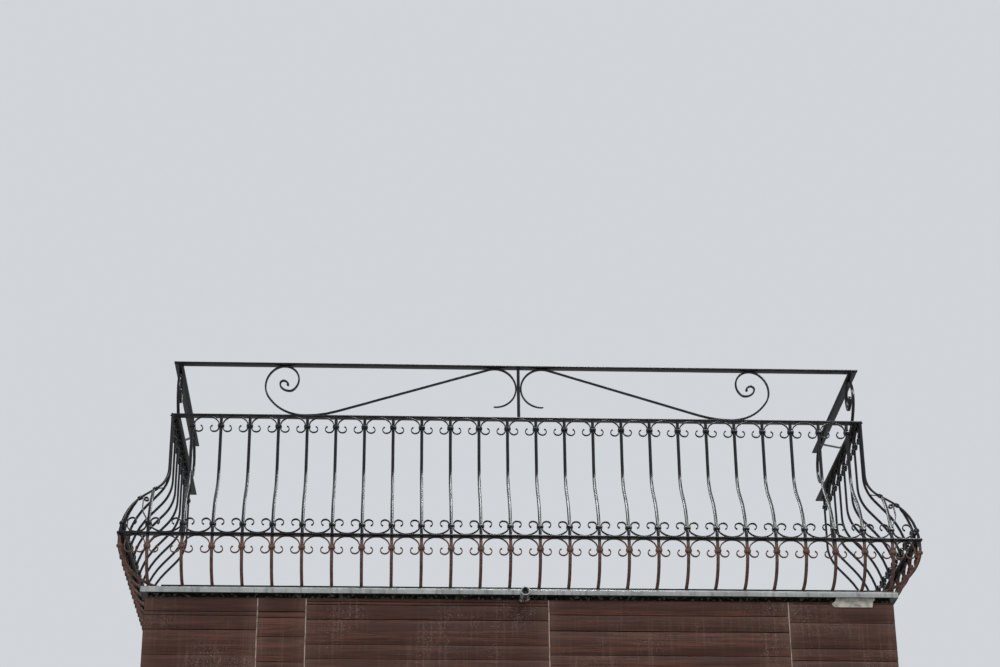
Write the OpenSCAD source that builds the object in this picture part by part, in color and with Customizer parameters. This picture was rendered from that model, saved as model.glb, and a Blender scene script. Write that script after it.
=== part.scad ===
// Wrought iron balcony with a bombe railing, a concrete deck and a boarded apron.
// Millimetres. X runs along the wall, Y into the wall and Z up.
// The origin is the centre of the slab's back face, where the slab meets the wall.

/* [Deck] */
// Thickness of the concrete slab
slab_t = 110; // [90:5:160]
// Thickness of the screed and floor finish laid on the slab
finish_t = 40; // [36:1:60]
// How far the deck's edging stands out past the railing's upper line
deck_margin = 80; // [60:5:120]
// Height of the rolled metal edging
nosing_h = 24; // [22:1:36]
// Depth of the edging, from the slab's edge to the tip of its nose
nosing_d = 40; // [34:1:60]

/* [Apron] */
// Height of the boarded apron under the edging
apron_h = 380; // [300:10:480]
// Thickness of the apron's boarding
apron_t = 22; // [16:1:30]
// Open shadow gap between the edging and the boarding
apron_gap = 22; // [6:1:30]
// Thickness of the soffit that closes the apron below
soffit_t = 18; // [12:1:30]

/* [Drain] */
// Outer diameter of the drain spout
spout_dia = 40; // [30:1:44]
// Wall of the drain spout
spout_wall = 4; // [2:0.5:5]
// Distance from the deck's surface down to the spout's axis
spout_drop = 27; // [25:1:30]
// How far the spout stands out past the edging
spout_reach = 48; // [30:2:90]
// How far the spout sits to the right of the middle
spout_x = 12; // [-200:1:200]
// Diameter of the gully in the floor that drains into the spout
gully_dia = 60; // [50:1:80]
// Distance from the slab's front edge back to the middle of the gully
gully_back = 110; // [80:5:150]

/* [Railing plan] */
// Width over the upper rails, outer face to outer face
rail_w = 3160; // [2400:20:4000]
// Depth of the railing, from the wall to the outer face of the upper rails
rail_d = 1000; // [800:10:1300]
// Distance from the outer face of the upper rails to the centre lines of the bars below them
rail_inset = 7; // [7:0.5:14]
// Height of the handrail's top above the deck
handrail_z = 1109; // [1000:5:1250]
// Height of the mid rail's top above the deck
mid_rail_z = 850; // [800:5:900]
// Width of the flat bar of the upper rails
rail_flat_w = 40; // [30:1:55]
// Thickness of the flat bar of the rails
rail_flat_t = 8; // [6:0.5:12]

/* [Balusters] */
// Width of the flat bars, measured along the railing
bar_w = 14; // [12:0.5:18]
// Thickness of the bars, measured outwards
bar_t = 10; // [8:0.5:14]
// Distance between the bars' centres
bar_pitch = 130; // [115:1:145]
// How far the front's row of bars sits to the right of the middle
row_shift = 12; // [-15:1:15]
// Distance from the wall to the first side bar's centre
wall_bar_gap = 50; // [40:1:52]
// How far the bars swell out past the upper rails
bulge = 180; // [170:5:230]
// Height above the deck at which the bars swell out furthest
belly_z = 190; // [180:1:230]
// Steepest lean of the swelling bars from the vertical
bulge_lean = 42; // [36:1:46]
// Radius of the bars' upper bend
neck_r = 173; // [120:1:200]
// Radius of the bars' swell
belly_r = 340; // [260:5:370]
// Radius of the bars' lower bend, where they tuck in over the deck
tuck_r = 150; // [100:2:160]
// Height of the bars' feet above the deck
foot_z = 15; // [10:1:25]
// Distance from the corner bar to the front's spur bar, where both swell out furthest
front_spur_gap = 121; // [105:1:130]
// The same distance on the side
side_spur_gap = 63; // [55:1:75]

/* [Lower rails] */
// Height of the belly rail's underside above the deck
belly_rail_z = 202; // [192:1:214]
// Width of the flat bar that circles the swell
belly_rail_w = 38; // [32:1:50]
// How far that flat bar stands out past the bars
belly_rail_lip = 10; // [6:1:14]
// Radius of the belly rail's corners
belly_corner_r = 8; // [4:1:12]
// Height of the bottom rail, which stands on edge on the deck
bottom_rail_h = 37; // [34:1:60]
// Thickness of the bottom rail
bottom_rail_t = 10; // [8:1:14]

/* [Scrollwork] */
// Thickness of the small scrolls' strip
strip_t = 5; // [3:0.5:6]
// Width of the small scrolls' strip
strip_w = 12; // [8:1:12]
// Radius of the small scrolls' curls
curl_r = 17; // [12:1:22]
// Height of the collars that tie the scrolls to the bars
collar_h = 14; // [10:1:20]
// Wall of the collars
collar_wall = 3; // [2:0.5:4]
// Distance from the mid rail to the collars of the row below it
upper_row_drop = 50; // [46:1:64]
// Distance from the belly rail to the collars of the row above it
middle_row_rise = 44; // [42:1:60]
// Distance from the belly rail to the collars of the row below it
lower_row_drop = 54; // [46:1:64]
// Radius of the turn that each corner stroke makes over itself
eye_r = 11; // [8:0.5:12]
// Thickness of the large scrolls' bar
large_t = 8; // [6:0.5:10]
// Width of the large scrolls' bar and of the centre post
large_w = 14; // [10:0.5:20]
// Distance from the middle of the front to the back of each large scroll
front_scroll_reach = 1164; // [900:4:1400]
// Radius of the large scrolls' small end, at the centre post
hook_r = 98; // [80:1:110]

/* [Hidden] */
$fn = 48;

// Colours
black_iron = [0.10, 0.11, 0.12];
rusty_iron = [0.27, 0.17, 0.13];
pale_metal = [0.70, 0.72, 0.70];
concrete = [0.62, 0.60, 0.57];
tile = [0.66, 0.60, 0.53];
board = [0.36, 0.20, 0.16];

// Clearance round pieces that pass through others
fit_gap = 0.5;

// Largest turn between two points of a bend, on the bars and on the small scrolls
bend_step = 11;
strip_step = 24;

// Deck
deck_z = slab_t / 2 + finish_t;
deck_w = rail_w + 2 * deck_margin;
deck_d = rail_d + deck_margin;
slab_w = deck_w - 2 * nosing_d;
slab_d = deck_d - nosing_d;
apron_top = deck_z - nosing_h - apron_gap;
apron_w = slab_w + 2 * apron_t;
apron_d = slab_d + apron_t;
spout_z = deck_z - spout_drop;
gully_y = -slab_d + gully_back;

// Centre lines of the bars' upper ends, from the middle and from the wall
line_x = rail_w / 2 - rail_inset;
line_y = rail_d - rail_inset;

// Swell of the bars: two opposed bends joined by a straight slope, then the tuck to the foot
slope_len = (bulge - (neck_r + belly_r) * (1 - cos(bulge_lean))) / sin(bulge_lean);
neck_z = belly_z + (neck_r + belly_r) * sin(bulge_lean) + slope_len * cos(bulge_lean);
foot_len = bulge - tuck_r - rail_inset;

// Bars of the front, from left to right, and of a side, from the wall out
least_corner_gap = 30;
front_last = floor((line_x - bar_pitch / 2 - abs(row_shift) - least_corner_gap) / bar_pitch);
side_last = floor((line_y - wall_bar_gap - least_corner_gap) / bar_pitch);
front_bars = [for (i = [-front_last - 1:front_last]) (i + 0.5) * bar_pitch + row_shift];
side_bars = [for (i = [0:side_last]) -(wall_bar_gap + i * bar_pitch)];
front_spur = line_x + bulge - front_spur_gap;
side_spur = -(line_y + bulge - side_spur_gap);

// Point reached from p by a bend of radius r and turn t, or by a line of length r where t is 0
function step_end(p, heading, r, t) = t == 0 ? p + r * [cos(heading), sin(heading)]
    : p + r * sign(t) * [sin(heading + t) - sin(heading), cos(heading) - cos(heading + t)];

// Points along a chain of bends and lines, each given as [radius or length, turn to the left]
function trail(moves, p = [0, 0], heading = 0, step = bend_step, i = 0) = i == len(moves) ? [p]
    : let (r = moves[i][0], t = moves[i][1], n = max(1, ceil(abs(t) / step)))
        concat([for (k = [0:n - 1]) k == 0 ? p : step_end(p, heading, r, t * k / n)],
            trail(moves, step_end(p, heading, r, t), heading + t, step, i + 1));

function unit(v) = v / norm(v);
function reversed(list) = [for (i = [len(list) - 1:-1:0]) list[i]];
function mirrored(path) = [for (p = path) [-p[0], p[1]]];

// Direction of a path at one of its points
function direction(path, i) = let (last = len(path) - 1)
    i == 0 ? unit(path[1] - path[0])
    : i == last ? unit(path[last] - path[last - 1])
    : unit(unit(path[i + 1] - path[i]) + unit(path[i] - path[i - 1]));

function beside(path, i, d) = path[i] + d * [-direction(path, i)[1], direction(path, i)[0]];

// Outline of a strip of thickness t that follows a path
function strip(path, t) = concat([for (i = [0:len(path) - 1]) beside(path, i, t / 2)],
    [for (i = [len(path) - 1:-1:0]) beside(path, i, -t / 2)]);

// A bar's centre line seen from the side, as [distance outwards, height above the deck]
bar_path = trail([[mid_rail_z - rail_flat_t - neck_z, 0], [neck_r, bulge_lean], [slope_len, 0],
    [belly_r, -bulge_lean], [belly_z - foot_z - tuck_r, 0], [tuck_r, -90], [foot_len, 0]],
    [0, mid_rail_z - rail_flat_t], -90);

// The corner bars' line is the same, with a foot that runs on to the bottom rail's corner
corner_path = concat([for (i = [0:len(bar_path) - 2]) bar_path[i]], [[0, foot_z]]);

// The line from the height where it has swelled out to w
function bar_path_from(w) = let (first = [for (i = [0:len(bar_path) - 1]) if (bar_path[i][0] > w) i][0],
    a = bar_path[first - 1], b = bar_path[first])
    concat([a + (b - a) * (w - a[0]) / (b[0] - a[0])],
        [for (i = [first:len(bar_path) - 1]) bar_path[i]]);

function stretched(path, k) = [for (p = path) [p[0] * k, p[1]]];

// How far the bars have swelled out at a height above the deck, their lean from the vertical there,
// and the height at which they reach a given swell
function swell_at(z) = lookup(z, [for (p = bar_path) [p[1], p[0]]]);
function lean_at(z) = atan((swell_at(z - 1) - swell_at(z + 1)) / 2);
function height_at(swell) = bar_path_from(swell)[0][1];

// Places children on the front or on the right side, with -Y outwards
module on_front() { translate([0, -line_y, deck_z]) children(); }
module on_right() { translate([line_x, 0, deck_z]) rotate([0, 0, 90]) children(); }
module on_left() { mirror([1, 0, 0]) on_right() children(); }

// A flat bar that follows a path seen from the side
module bar_along(path) {
    rotate([90, 0, -90]) linear_extrude(bar_w, center = true) polygon(strip(path, bar_t));
}

module baluster_row(places) {
    for (x = places) translate([x, 0, 0]) bar_along(bar_path);
}

// Places children in the diagonal plane of the right corner, with -Y outwards
module on_corner() { translate([line_x, -line_y, deck_z]) rotate([0, 0, 45]) children(); }

// The corner bar's foot is notched to sit round the bottom rail's corner
module corner_bar() {
    color(black_iron) difference() {
        on_corner() bar_along(stretched(corner_path, sqrt(2)));
        translate([-rail_w / 2, -rail_d, deck_z]) cube([rail_w, rail_d, bottom_rail_h]);
    }
}

// Space on the front's side of the right corner bar, up to the bar's side face
module before_corner() {
    face = bar_w / sqrt(2);
    reach = 2 * bulge;
    translate([line_x, -line_y, deck_z]) linear_extrude(mid_rail_z)
        polygon([[-reach, reach - face], [reach, -reach - face], [-reach, -reach - face]]);
}

// The same space on the side's side
module beside_corner() {
    translate([line_x, -line_y, 0]) mirror([1, 1, 0]) translate([-line_x, line_y, 0]) before_corner();
}

// Two bars that spring from the right corner bar, one on the front and one on the side
module spur_bars() {
    color(black_iron) {
        intersection() {
            on_front() translate([front_spur, 0, 0]) bar_along(bar_path_from(front_spur - line_x - bar_t));
            before_corner();
        }
        intersection() {
            on_right() translate([side_spur, 0, 0]) bar_along(bar_path_from(-side_spur - line_y - bar_t));
            beside_corner();
        }
    }
}

// Flat bar of the front with mitred ends; outer is its plan's half width and depth
module front_flat(half_w, depth, w, t) {
    linear_extrude(t) polygon([[-half_w, -depth], [half_w, -depth], [half_w - w, -depth + w],
        [-half_w + w, -depth + w]]);
}

// Flat bar of the right side, from the front mitre back to the wall
module right_flat(half_w, depth, w, t) {
    linear_extrude(t) polygon([[half_w, -depth], [half_w, 0], [half_w - w, 0], [half_w - w, -depth + w]]);
}

module left_of() { mirror([1, 0, 0]) children(); }

module upper_rail_front(z) {
    color(black_iron) translate([0, 0, deck_z + z - rail_flat_t])
        front_flat(rail_w / 2, rail_d, rail_flat_w, rail_flat_t);
}

module upper_rail_right(z) {
    color(black_iron) translate([0, 0, deck_z + z - rail_flat_t])
        right_flat(rail_w / 2, rail_d, rail_flat_w, rail_flat_t);
}

// Belly rail: the bars pass through holes punched in it
belly_out = bulge + bar_t / 2 + belly_rail_lip;
belly_half_w = line_x + belly_out;
belly_depth = line_y + belly_out;

belly_hole_swell = swell_at(belly_rail_z + rail_flat_t / 2);

module belly_hole(swell) {
    translate([0, -swell, 0]) cube([bar_w + 2 * fit_gap, bar_t + 2 * fit_gap, 4 * rail_flat_t], center = true);
}

module corner_hole() {
    translate([line_x, -line_y, 0]) rotate([0, 0, 45]) belly_hole(belly_hole_swell * sqrt(2));
}

// What the rounding takes off the belly rail's right corner
module belly_corner() {
    translate([belly_half_w - belly_corner_r, belly_corner_r - belly_depth, -rail_flat_t])
        linear_extrude(3 * rail_flat_t) difference() {
            translate([0, -2 * belly_corner_r]) square(2 * belly_corner_r);
            circle(r = belly_corner_r);
        }
}

module belly_rail_front() {
    color(rusty_iron) translate([0, 0, deck_z + belly_rail_z]) difference() {
        front_flat(belly_half_w, belly_depth, belly_rail_w, rail_flat_t);
        for (x = front_belly_bars) translate([x, -line_y, 0]) belly_hole(belly_hole_swell);
        corner_hole();
        left_of() corner_hole();
        belly_corner();
        left_of() belly_corner();
    }
}

module belly_rail_right() {
    color(rusty_iron) translate([0, 0, deck_z + belly_rail_z]) difference() {
        right_flat(belly_half_w, belly_depth, belly_rail_w, rail_flat_t);
        for (x = side_belly_bars)
            translate([line_x, 0, 0]) rotate([0, 0, 90]) translate([x, 0, 0]) belly_hole(belly_hole_swell);
        corner_hole();
        belly_corner();
    }
}

module bottom_rail_front() {
    color(black_iron) translate([0, 0, deck_z])
        front_flat(rail_w / 2, rail_d, bottom_rail_t, bottom_rail_h);
}

module bottom_rail_right() {
    color(black_iron) translate([0, 0, deck_z])
        right_flat(rail_w / 2, rail_d, bottom_rail_t, bottom_rail_h);
}

// Arch of a small scroll: a flat crown and two tighter shoulders that end upright
crown_turn = 42;
function shoulder_r(half_w, drop) = (drop - half_w * tan(crown_turn / 2))
    / (cos(crown_turn) - (1 - sin(crown_turn)) * tan(crown_turn / 2));
function crown_r(half_w, drop) = (half_w - shoulder_r(half_w, drop) * (1 - sin(crown_turn))) / sin(crown_turn);

// Half an arch from its top down to the end of its leg, and the curl that may follow
function half_arch(half_w, drop) = [[crown_r(half_w, drop), -crown_turn],
    [shoulder_r(half_w, drop), crown_turn - 90], [collar_h, 0]];
function curled(curl) = [[curl, -120], [curl * 0.75, -90], [curl * 0.5, -60]];

// A small scroll hanging below height 0 between two bars that are clear_w apart; left_curl is its curl
// on the left, or 0 where the leg there runs on into another piece
module small_scroll(clear_w, drop, curl, left_curl) {
    arch = half_arch(clear_w / 2 - strip_t / 2, drop - collar_h / 2 - strip_t / 2);
    top = [0, -strip_t / 2];
    right = trail(concat(arch, curled(curl)), top, 0, strip_step);
    left = trail(left_curl > 0 ? concat(arch, curled(left_curl)) : arch, top, 0, strip_step);
    path = concat(reversed(mirrored(left)), [for (i = [1:len(right) - 1]) right[i]]);
    linear_extrude(strip_w, center = true) polygon(strip(path, strip_t));
}

// Bays between neighbouring bars, each as [middle, clear width]
function bays(places) = [for (i = [0:len(places) - 2])
    [(places[i] + places[i + 1]) / 2, abs(places[i + 1] - places[i]) - bar_w]];

// The front's corner bays lie between a spur bar and the collars of its corner bar
corner_collar_x = (bar_w / 2 + fit_gap + collar_wall) * sqrt(2) + strip_w / 2;
function corner_bay(swell) = let (from = front_spur + bar_w / 2, to = line_x + swell - corner_collar_x)
    [(from + to) / 2, to - from];

module upper_row(row) {
    for (bay = row) translate([bay[0], 0, mid_rail_z - rail_flat_t]) rotate([90, 0, 0])
        small_scroll(bay[1], upper_row_drop, curl_r, curl_r);
}

// Heights above the deck of the collars' middles over and under the belly rail; the two rows of
// scrolls there lean so that they pass through these collars
middle_z = belly_rail_z + rail_flat_t + middle_row_rise;
lower_z = belly_rail_z - lower_row_drop;
middle_lean = atan((bulge - swell_at(middle_z)) / middle_row_rise);
lower_row_lean = atan((bulge - swell_at(lower_z)) / lower_row_drop);
middle_curl = 1.2 * curl_r;

module middle_row(row, left_curl) {
    for (bay = row) translate([bay[0], -bulge, belly_rail_z + rail_flat_t]) rotate([90 - middle_lean, 0, 0])
        mirror([0, 1, 0]) small_scroll(bay[1], middle_row_rise, middle_curl, left_curl);
}

module lower_row(row) {
    for (bay = row) translate([bay[0], -bulge, belly_rail_z]) rotate([90 + lower_row_lean, 0, 0])
        small_scroll(bay[1], lower_row_drop, curl_r, curl_r);
}

// Stroke of the right corner bay: it rises from the spur bar's collar, leans over to the corner bar
// where the side's spur bar springs, turns back over itself and ends in an eye
stroke_r = 80;
stroke_turn = 26;
knot_swell = bulge - side_spur_gap;
stroke_foot = middle_z + collar_h / 2;

module corner_stroke() {
    across = line_x + knot_swell - corner_collar_x - front_spur - bar_w / 2 - strip_t;
    inwards = swell_at(stroke_foot) - knot_swell;
    upwards = height_at(knot_swell) - stroke_foot;
    slant = (across - 2 * stroke_r * (1 - cos(stroke_turn))) / sin(stroke_turn);
    rest = norm([inwards, upwards]) - 2 * stroke_r * sin(stroke_turn) - slant * cos(stroke_turn);
    path = trail([[stroke_r, -stroke_turn], [slant, 0], [stroke_r, stroke_turn], [rest, 0], [eye_r, 180],
        [eye_r * 0.7, 200]], [0, 0], 90, strip_step);
    translate([front_spur + bar_w / 2 + strip_t / 2, -swell_at(stroke_foot), stroke_foot])
        rotate([90 - atan2(inwards, upwards), 0, 0])
        linear_extrude(strip_w, center = true) polygon(strip(path, strip_t));
}

// The right corner bay's scrolls
module corner_scrolls() {
    middle_row([corner_bay(swell_at(middle_z))], 0);
    lower_row([corner_bay(swell_at(lower_z))]);
    corner_stroke();
}

// Flat strip that ties the right corner bar, where the front's spur bar springs, to the last side
// bar, at swells of link_foot and link_head
link_foot = bulge - front_spur_gap - bar_w / 2;
link_head = 24;

module corner_link() {
    from = [line_x + link_foot, -line_y - link_foot, deck_z + height_at(link_foot)];
    bar_face = side_bars[side_last] - bar_w / 2;
    to = [line_x + link_head, bar_face, deck_z + height_at(link_head)];
    run = to - from;
    flat_run = norm([run[0], run[1]]);
    intersection() {
        translate(from) rotate([0, -atan2(run[2], flat_run), atan2(run[1], run[0])])
            translate([-bar_w, -strip_w / 2, -strip_t / 2]) cube([norm(run) + 2 * bar_w, strip_w, strip_t]);
        beside_corner();
        translate([line_x - bulge, bar_face - 2 * bulge, deck_z]) cube([2 * bulge, 2 * bulge, mid_rail_z]);
    }
}

// A collar round a bar and what lies against its sides, at a lean from the vertical
module collar(lean, side_room) {
    inner = [bar_w + 2 * side_room, max(bar_t, strip_w) + 2 * fit_gap];
    rotate([-lean, 0, 0]) linear_extrude(collar_h, center = true) difference() {
        square(inner + 2 * [collar_wall, collar_wall], center = true);
        square(inner, center = true);
    }
}

module upper_collars(places) {
    for (x = places) translate([x, 0, mid_rail_z - rail_flat_t - upper_row_drop]) collar(0, strip_t);
}

module belly_collars(places) {
    for (x = places, z = [middle_z, lower_z]) translate([x, -swell_at(z), z]) collar(lean_at(z), strip_t);
}

// A collar on the right corner bar at a height above the deck
module corner_collar(z) {
    on_corner() translate([0, -swell_at(z) * sqrt(2), z]) collar(atan(sqrt(2) * tan(lean_at(z))), fit_gap);
}

module corner_collars() {
    corner_collar(middle_z);
    corner_collar(lower_z);
    for (gap = [front_spur_gap, side_spur_gap]) corner_collar(height_at(bulge - gap - bar_w / 2));
}

// Large scroll of the band between the upper rails: a crown that touches the handrail, a wide back,
// and a tail that rises from the mid rail to a small hook under the handrail
band_h = handrail_z - mid_rail_z - rail_flat_t - large_t;
back_ratio = 2;
back_turn = 56;
large_crown_r = band_h / (back_ratio * (1 - cos(back_turn)) + 1 + cos(back_turn));
back_r = back_ratio * large_crown_r;
tail_low_r = 500;

// Reach of the scroll's back past the point where it rests on the mid rail
back_reach = back_r * sin(back_turn) + large_crown_r * (1 - sin(back_turn));

// The path is drawn from the resting point outwards; run is how far its tail spreads the other way
function large_curl() = trail([[back_r, back_turn], [large_crown_r, 180 - back_turn],
    [large_crown_r * 0.64, 90], [large_crown_r * 0.46, 90], [large_crown_r * 0.38, 90],
    [large_crown_r * 0.22, 100]]);
function tail_angle(run) = let (r = tail_low_r + hook_r)
    atan2(band_h - r, run) + asin(r / norm([run, band_h - r]));
function tail_len(run) = sqrt(pow(run, 2) + pow(band_h - tail_low_r - hook_r, 2) - pow(tail_low_r + hook_r, 2));
function large_tail(run) = trail([[tail_low_r, tail_angle(run)], [tail_len(run), 0], [hook_r, -tail_angle(run)],
    [hook_r, -90], [hook_r * 0.9, -90], [hook_r * 0.6, -50]]);

module large_scroll(run) {
    tail = mirrored(large_tail(run));
    curl = large_curl();
    path = concat(reversed(tail), [for (i = [1:len(curl) - 1]) curl[i]]);
    translate([0, 0, mid_rail_z + large_t / 2]) rotate([90, 0, 0])
        linear_extrude(large_w, center = true) polygon(strip(path, large_t));
}

// Distance from the resting point to the far side of the hook
front_run = front_scroll_reach - large_t / 2 - back_reach - large_w / 2 - large_t / 2 - hook_r;
side_scroll_gap = 6;
side_run = rail_d - rail_flat_w - side_scroll_gap - back_reach - large_t - hook_r - side_scroll_gap;
scroll_line = rail_flat_w / 2 - rail_inset;

module large_scroll_front_right() {
    color(black_iron) on_front() translate([large_w / 2 + large_t / 2 + hook_r + front_run, scroll_line, 0])
        large_scroll(front_run);
}

module large_scroll_side_right() {
    color(black_iron) on_right() translate([-(side_scroll_gap + large_t / 2 + hook_r + side_run), scroll_line, 0])
        mirror([1, 0, 0]) large_scroll(side_run);
}

module centre_post() {
    color(black_iron) on_front() translate([-large_w / 2, scroll_line - large_w / 2, mid_rail_z])
        cube([large_w, large_w, handrail_z - rail_flat_t - mid_rail_z]);
}

// Section of the edging: a half-round nose on a flat block
module nosing_section() {
    translate([0, -nosing_h / 2]) circle(d = nosing_h);
    translate([-nosing_d + nosing_h / 2, -nosing_h]) square([nosing_d - nosing_h / 2, nosing_h]);
}

module nosing_front() {
    nose = nosing_h / 2;
    color(pale_metal) difference() {
        translate([0, -deck_d + nose, deck_z]) intersection() {
            rotate([90, 0, -90]) linear_extrude(deck_w, center = true) nosing_section();
            translate([0, 0, -nosing_h]) linear_extrude(nosing_h) polygon([[-deck_w / 2, -nose],
                [deck_w / 2, -nose], [deck_w / 2 - nosing_d, nosing_d - nose],
                [-deck_w / 2 + nosing_d, nosing_d - nose]]);
        }
        spout_way();
    }
}

module nosing_right() {
    nose = nosing_h / 2;
    color(pale_metal) translate([deck_w / 2 - nose, 0, deck_z]) intersection() {
        translate([0, -deck_d / 2, 0]) rotate([90, 0, 0]) linear_extrude(deck_d, center = true) nosing_section();
        translate([0, 0, -nosing_h]) linear_extrude(nosing_h) polygon([[nose, 0], [nose, -deck_d],
            [nose - nosing_d, -deck_d + nosing_d], [nose - nosing_d, 0]]);
    }
}

// Way for the spout through what it passes, and the gully that drains into it
module spout_at(d, from_y, to_y) {
    translate([spout_x, from_y, spout_z]) rotate([90, 0, 0]) cylinder(d = d, h = from_y - to_y);
}

module spout_way() { spout_at(spout_dia + 2 * fit_gap, gully_y, -deck_d - spout_reach); }

module gully() {
    gully_floor = spout_z - spout_dia / 2 - fit_gap;
    translate([spout_x, gully_y, gully_floor]) cylinder(d = gully_dia, h = spout_drop + spout_dia);
}

module deck_slab() {
    color(concrete) difference() {
        translate([-slab_w / 2, -slab_d, -slab_t / 2]) cube([slab_w, slab_d, slab_t]);
        spout_way();
        gully();
    }
}

module floor_finish() {
    color(tile) difference() {
        translate([-slab_w / 2, -slab_d, slab_t / 2]) cube([slab_w, slab_d, finish_t]);
        spout_way();
        gully();
    }
}

module drain_spout() {
    from_y = gully_y - gully_dia / 2;
    to_y = -deck_d - spout_reach;
    color(pale_metal) difference() {
        spout_at(spout_dia, from_y, to_y);
        spout_at(spout_dia - 2 * spout_wall, from_y + 1, to_y - 1);
    }
}

module apron_front() {
    color(board) difference() {
        translate([0, 0, apron_top - apron_h]) front_flat(apron_w / 2, apron_d, apron_t, apron_h);
        spout_way();
    }
}

module apron_right() {
    color(board) translate([0, 0, apron_top - apron_h]) right_flat(apron_w / 2, apron_d, apron_t, apron_h);
}

module soffit() {
    color(board) translate([-slab_w / 2, -slab_d, apron_top - apron_h]) cube([slab_w, slab_d, soffit_t]);
}

front_belly_bars = concat([-front_spur], front_bars, [front_spur]);
side_belly_bars = concat(side_bars, [side_spur]);

module balusters_front() { color(black_iron) on_front() baluster_row(front_bars); }
module balusters_right() { color(black_iron) on_right() baluster_row(side_bars); }
module upper_scrolls_front() { color(black_iron) on_front() upper_row(bays(front_bars)); }
module upper_scrolls_right() { color(black_iron) on_right() upper_row(bays(side_bars)); }

module belly_scrolls_front() {
    color(rusty_iron) on_front() {
        middle_row(bays(front_belly_bars), middle_curl);
        lower_row(bays(front_belly_bars));
        corner_scrolls();
        left_of() corner_scrolls();
    }
}

module belly_scrolls_right() {
    color(rusty_iron) {
        on_right() middle_row(bays(side_belly_bars), middle_curl);
        on_right() lower_row(bays(side_belly_bars));
        corner_link();
    }
}

module collars_front() {
    color(black_iron) {
        on_front() upper_collars(front_bars);
        on_front() belly_collars(front_belly_bars);
        corner_collars();
        left_of() corner_collars();
    }
}

module collars_right() {
    color(black_iron) on_right() {
        upper_collars(side_bars);
        belly_collars(side_belly_bars);
    }
}

deck_slab();
floor_finish();
nosing_front();
left_of() nosing_right();  // nosing_left
nosing_right();
drain_spout();
apron_front();
left_of() apron_right();  // apron_left
apron_right();
soffit();
bottom_rail_front();
left_of() bottom_rail_right();  // bottom_rail_left
bottom_rail_right();
belly_rail_front();
left_of() belly_rail_right();  // belly_rail_left
belly_rail_right();
upper_rail_front(mid_rail_z);  // mid_rail_front
left_of() upper_rail_right(mid_rail_z);  // mid_rail_left
upper_rail_right(mid_rail_z);  // mid_rail_right
upper_rail_front(handrail_z);  // handrail_front
left_of() upper_rail_right(handrail_z);  // handrail_left
upper_rail_right(handrail_z);  // handrail_right
balusters_front();
left_of() balusters_right();  // balusters_left
balusters_right();
left_of() corner_bar();  // corner_bar_left
corner_bar();  // corner_bar_right
left_of() spur_bars();  // spur_bars_left
spur_bars();  // spur_bars_right
upper_scrolls_front();
left_of() upper_scrolls_right();  // upper_scrolls_left
upper_scrolls_right();
belly_scrolls_front();
left_of() belly_scrolls_right();  // belly_scrolls_left
belly_scrolls_right();
collars_front();
left_of() collars_right();  // collars_left
collars_right();
centre_post();
left_of() large_scroll_front_right();  // large_scroll_front_left
large_scroll_front_right();
left_of() large_scroll_side_right();  // large_scroll_side_left
large_scroll_side_right();
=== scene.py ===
"""Looks of the wrought iron balcony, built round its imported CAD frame.

Metres, in the frame's own axes: X along the wall, Y into the wall, Z up.
"""

import math
import random

import bmesh
import bpy
from mathutils import Matrix, Vector, noise


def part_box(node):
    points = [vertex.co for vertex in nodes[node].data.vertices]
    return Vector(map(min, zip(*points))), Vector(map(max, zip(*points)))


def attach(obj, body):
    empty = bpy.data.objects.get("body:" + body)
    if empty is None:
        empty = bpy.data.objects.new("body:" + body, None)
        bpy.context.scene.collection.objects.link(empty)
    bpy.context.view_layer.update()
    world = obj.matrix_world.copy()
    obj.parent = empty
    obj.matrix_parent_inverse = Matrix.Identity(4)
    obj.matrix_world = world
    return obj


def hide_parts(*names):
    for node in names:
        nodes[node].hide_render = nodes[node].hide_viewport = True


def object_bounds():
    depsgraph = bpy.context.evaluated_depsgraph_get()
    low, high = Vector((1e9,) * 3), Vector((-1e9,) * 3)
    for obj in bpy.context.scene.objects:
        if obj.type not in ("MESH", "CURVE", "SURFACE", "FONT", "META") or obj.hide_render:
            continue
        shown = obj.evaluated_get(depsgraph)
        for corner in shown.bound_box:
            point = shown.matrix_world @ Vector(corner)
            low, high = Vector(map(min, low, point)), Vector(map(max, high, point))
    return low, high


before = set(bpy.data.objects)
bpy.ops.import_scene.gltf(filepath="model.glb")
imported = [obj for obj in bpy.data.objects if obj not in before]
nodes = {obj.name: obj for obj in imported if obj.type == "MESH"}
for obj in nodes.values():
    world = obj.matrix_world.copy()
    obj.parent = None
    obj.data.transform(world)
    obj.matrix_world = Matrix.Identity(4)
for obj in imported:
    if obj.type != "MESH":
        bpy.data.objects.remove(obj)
cad_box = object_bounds()
radians = math.radians

# Places and sizes read from the frame
deck_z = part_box("floor_finish")[1].z
mid_low, mid_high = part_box("mid_rail_front")
hand_low, hand_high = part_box("handrail_front")
belly_low, belly_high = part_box("belly_rail_front")
bottom_low, bottom_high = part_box("bottom_rail_front")
nose_low, nose_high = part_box("nosing_front")
apron_low, apron_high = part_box("apron_front")
finish_low, finish_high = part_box("floor_finish")
soffit_low, soffit_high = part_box("soffit")
spout_low, spout_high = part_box("drain_spout")
post_low, post_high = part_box("centre_post")

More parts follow.
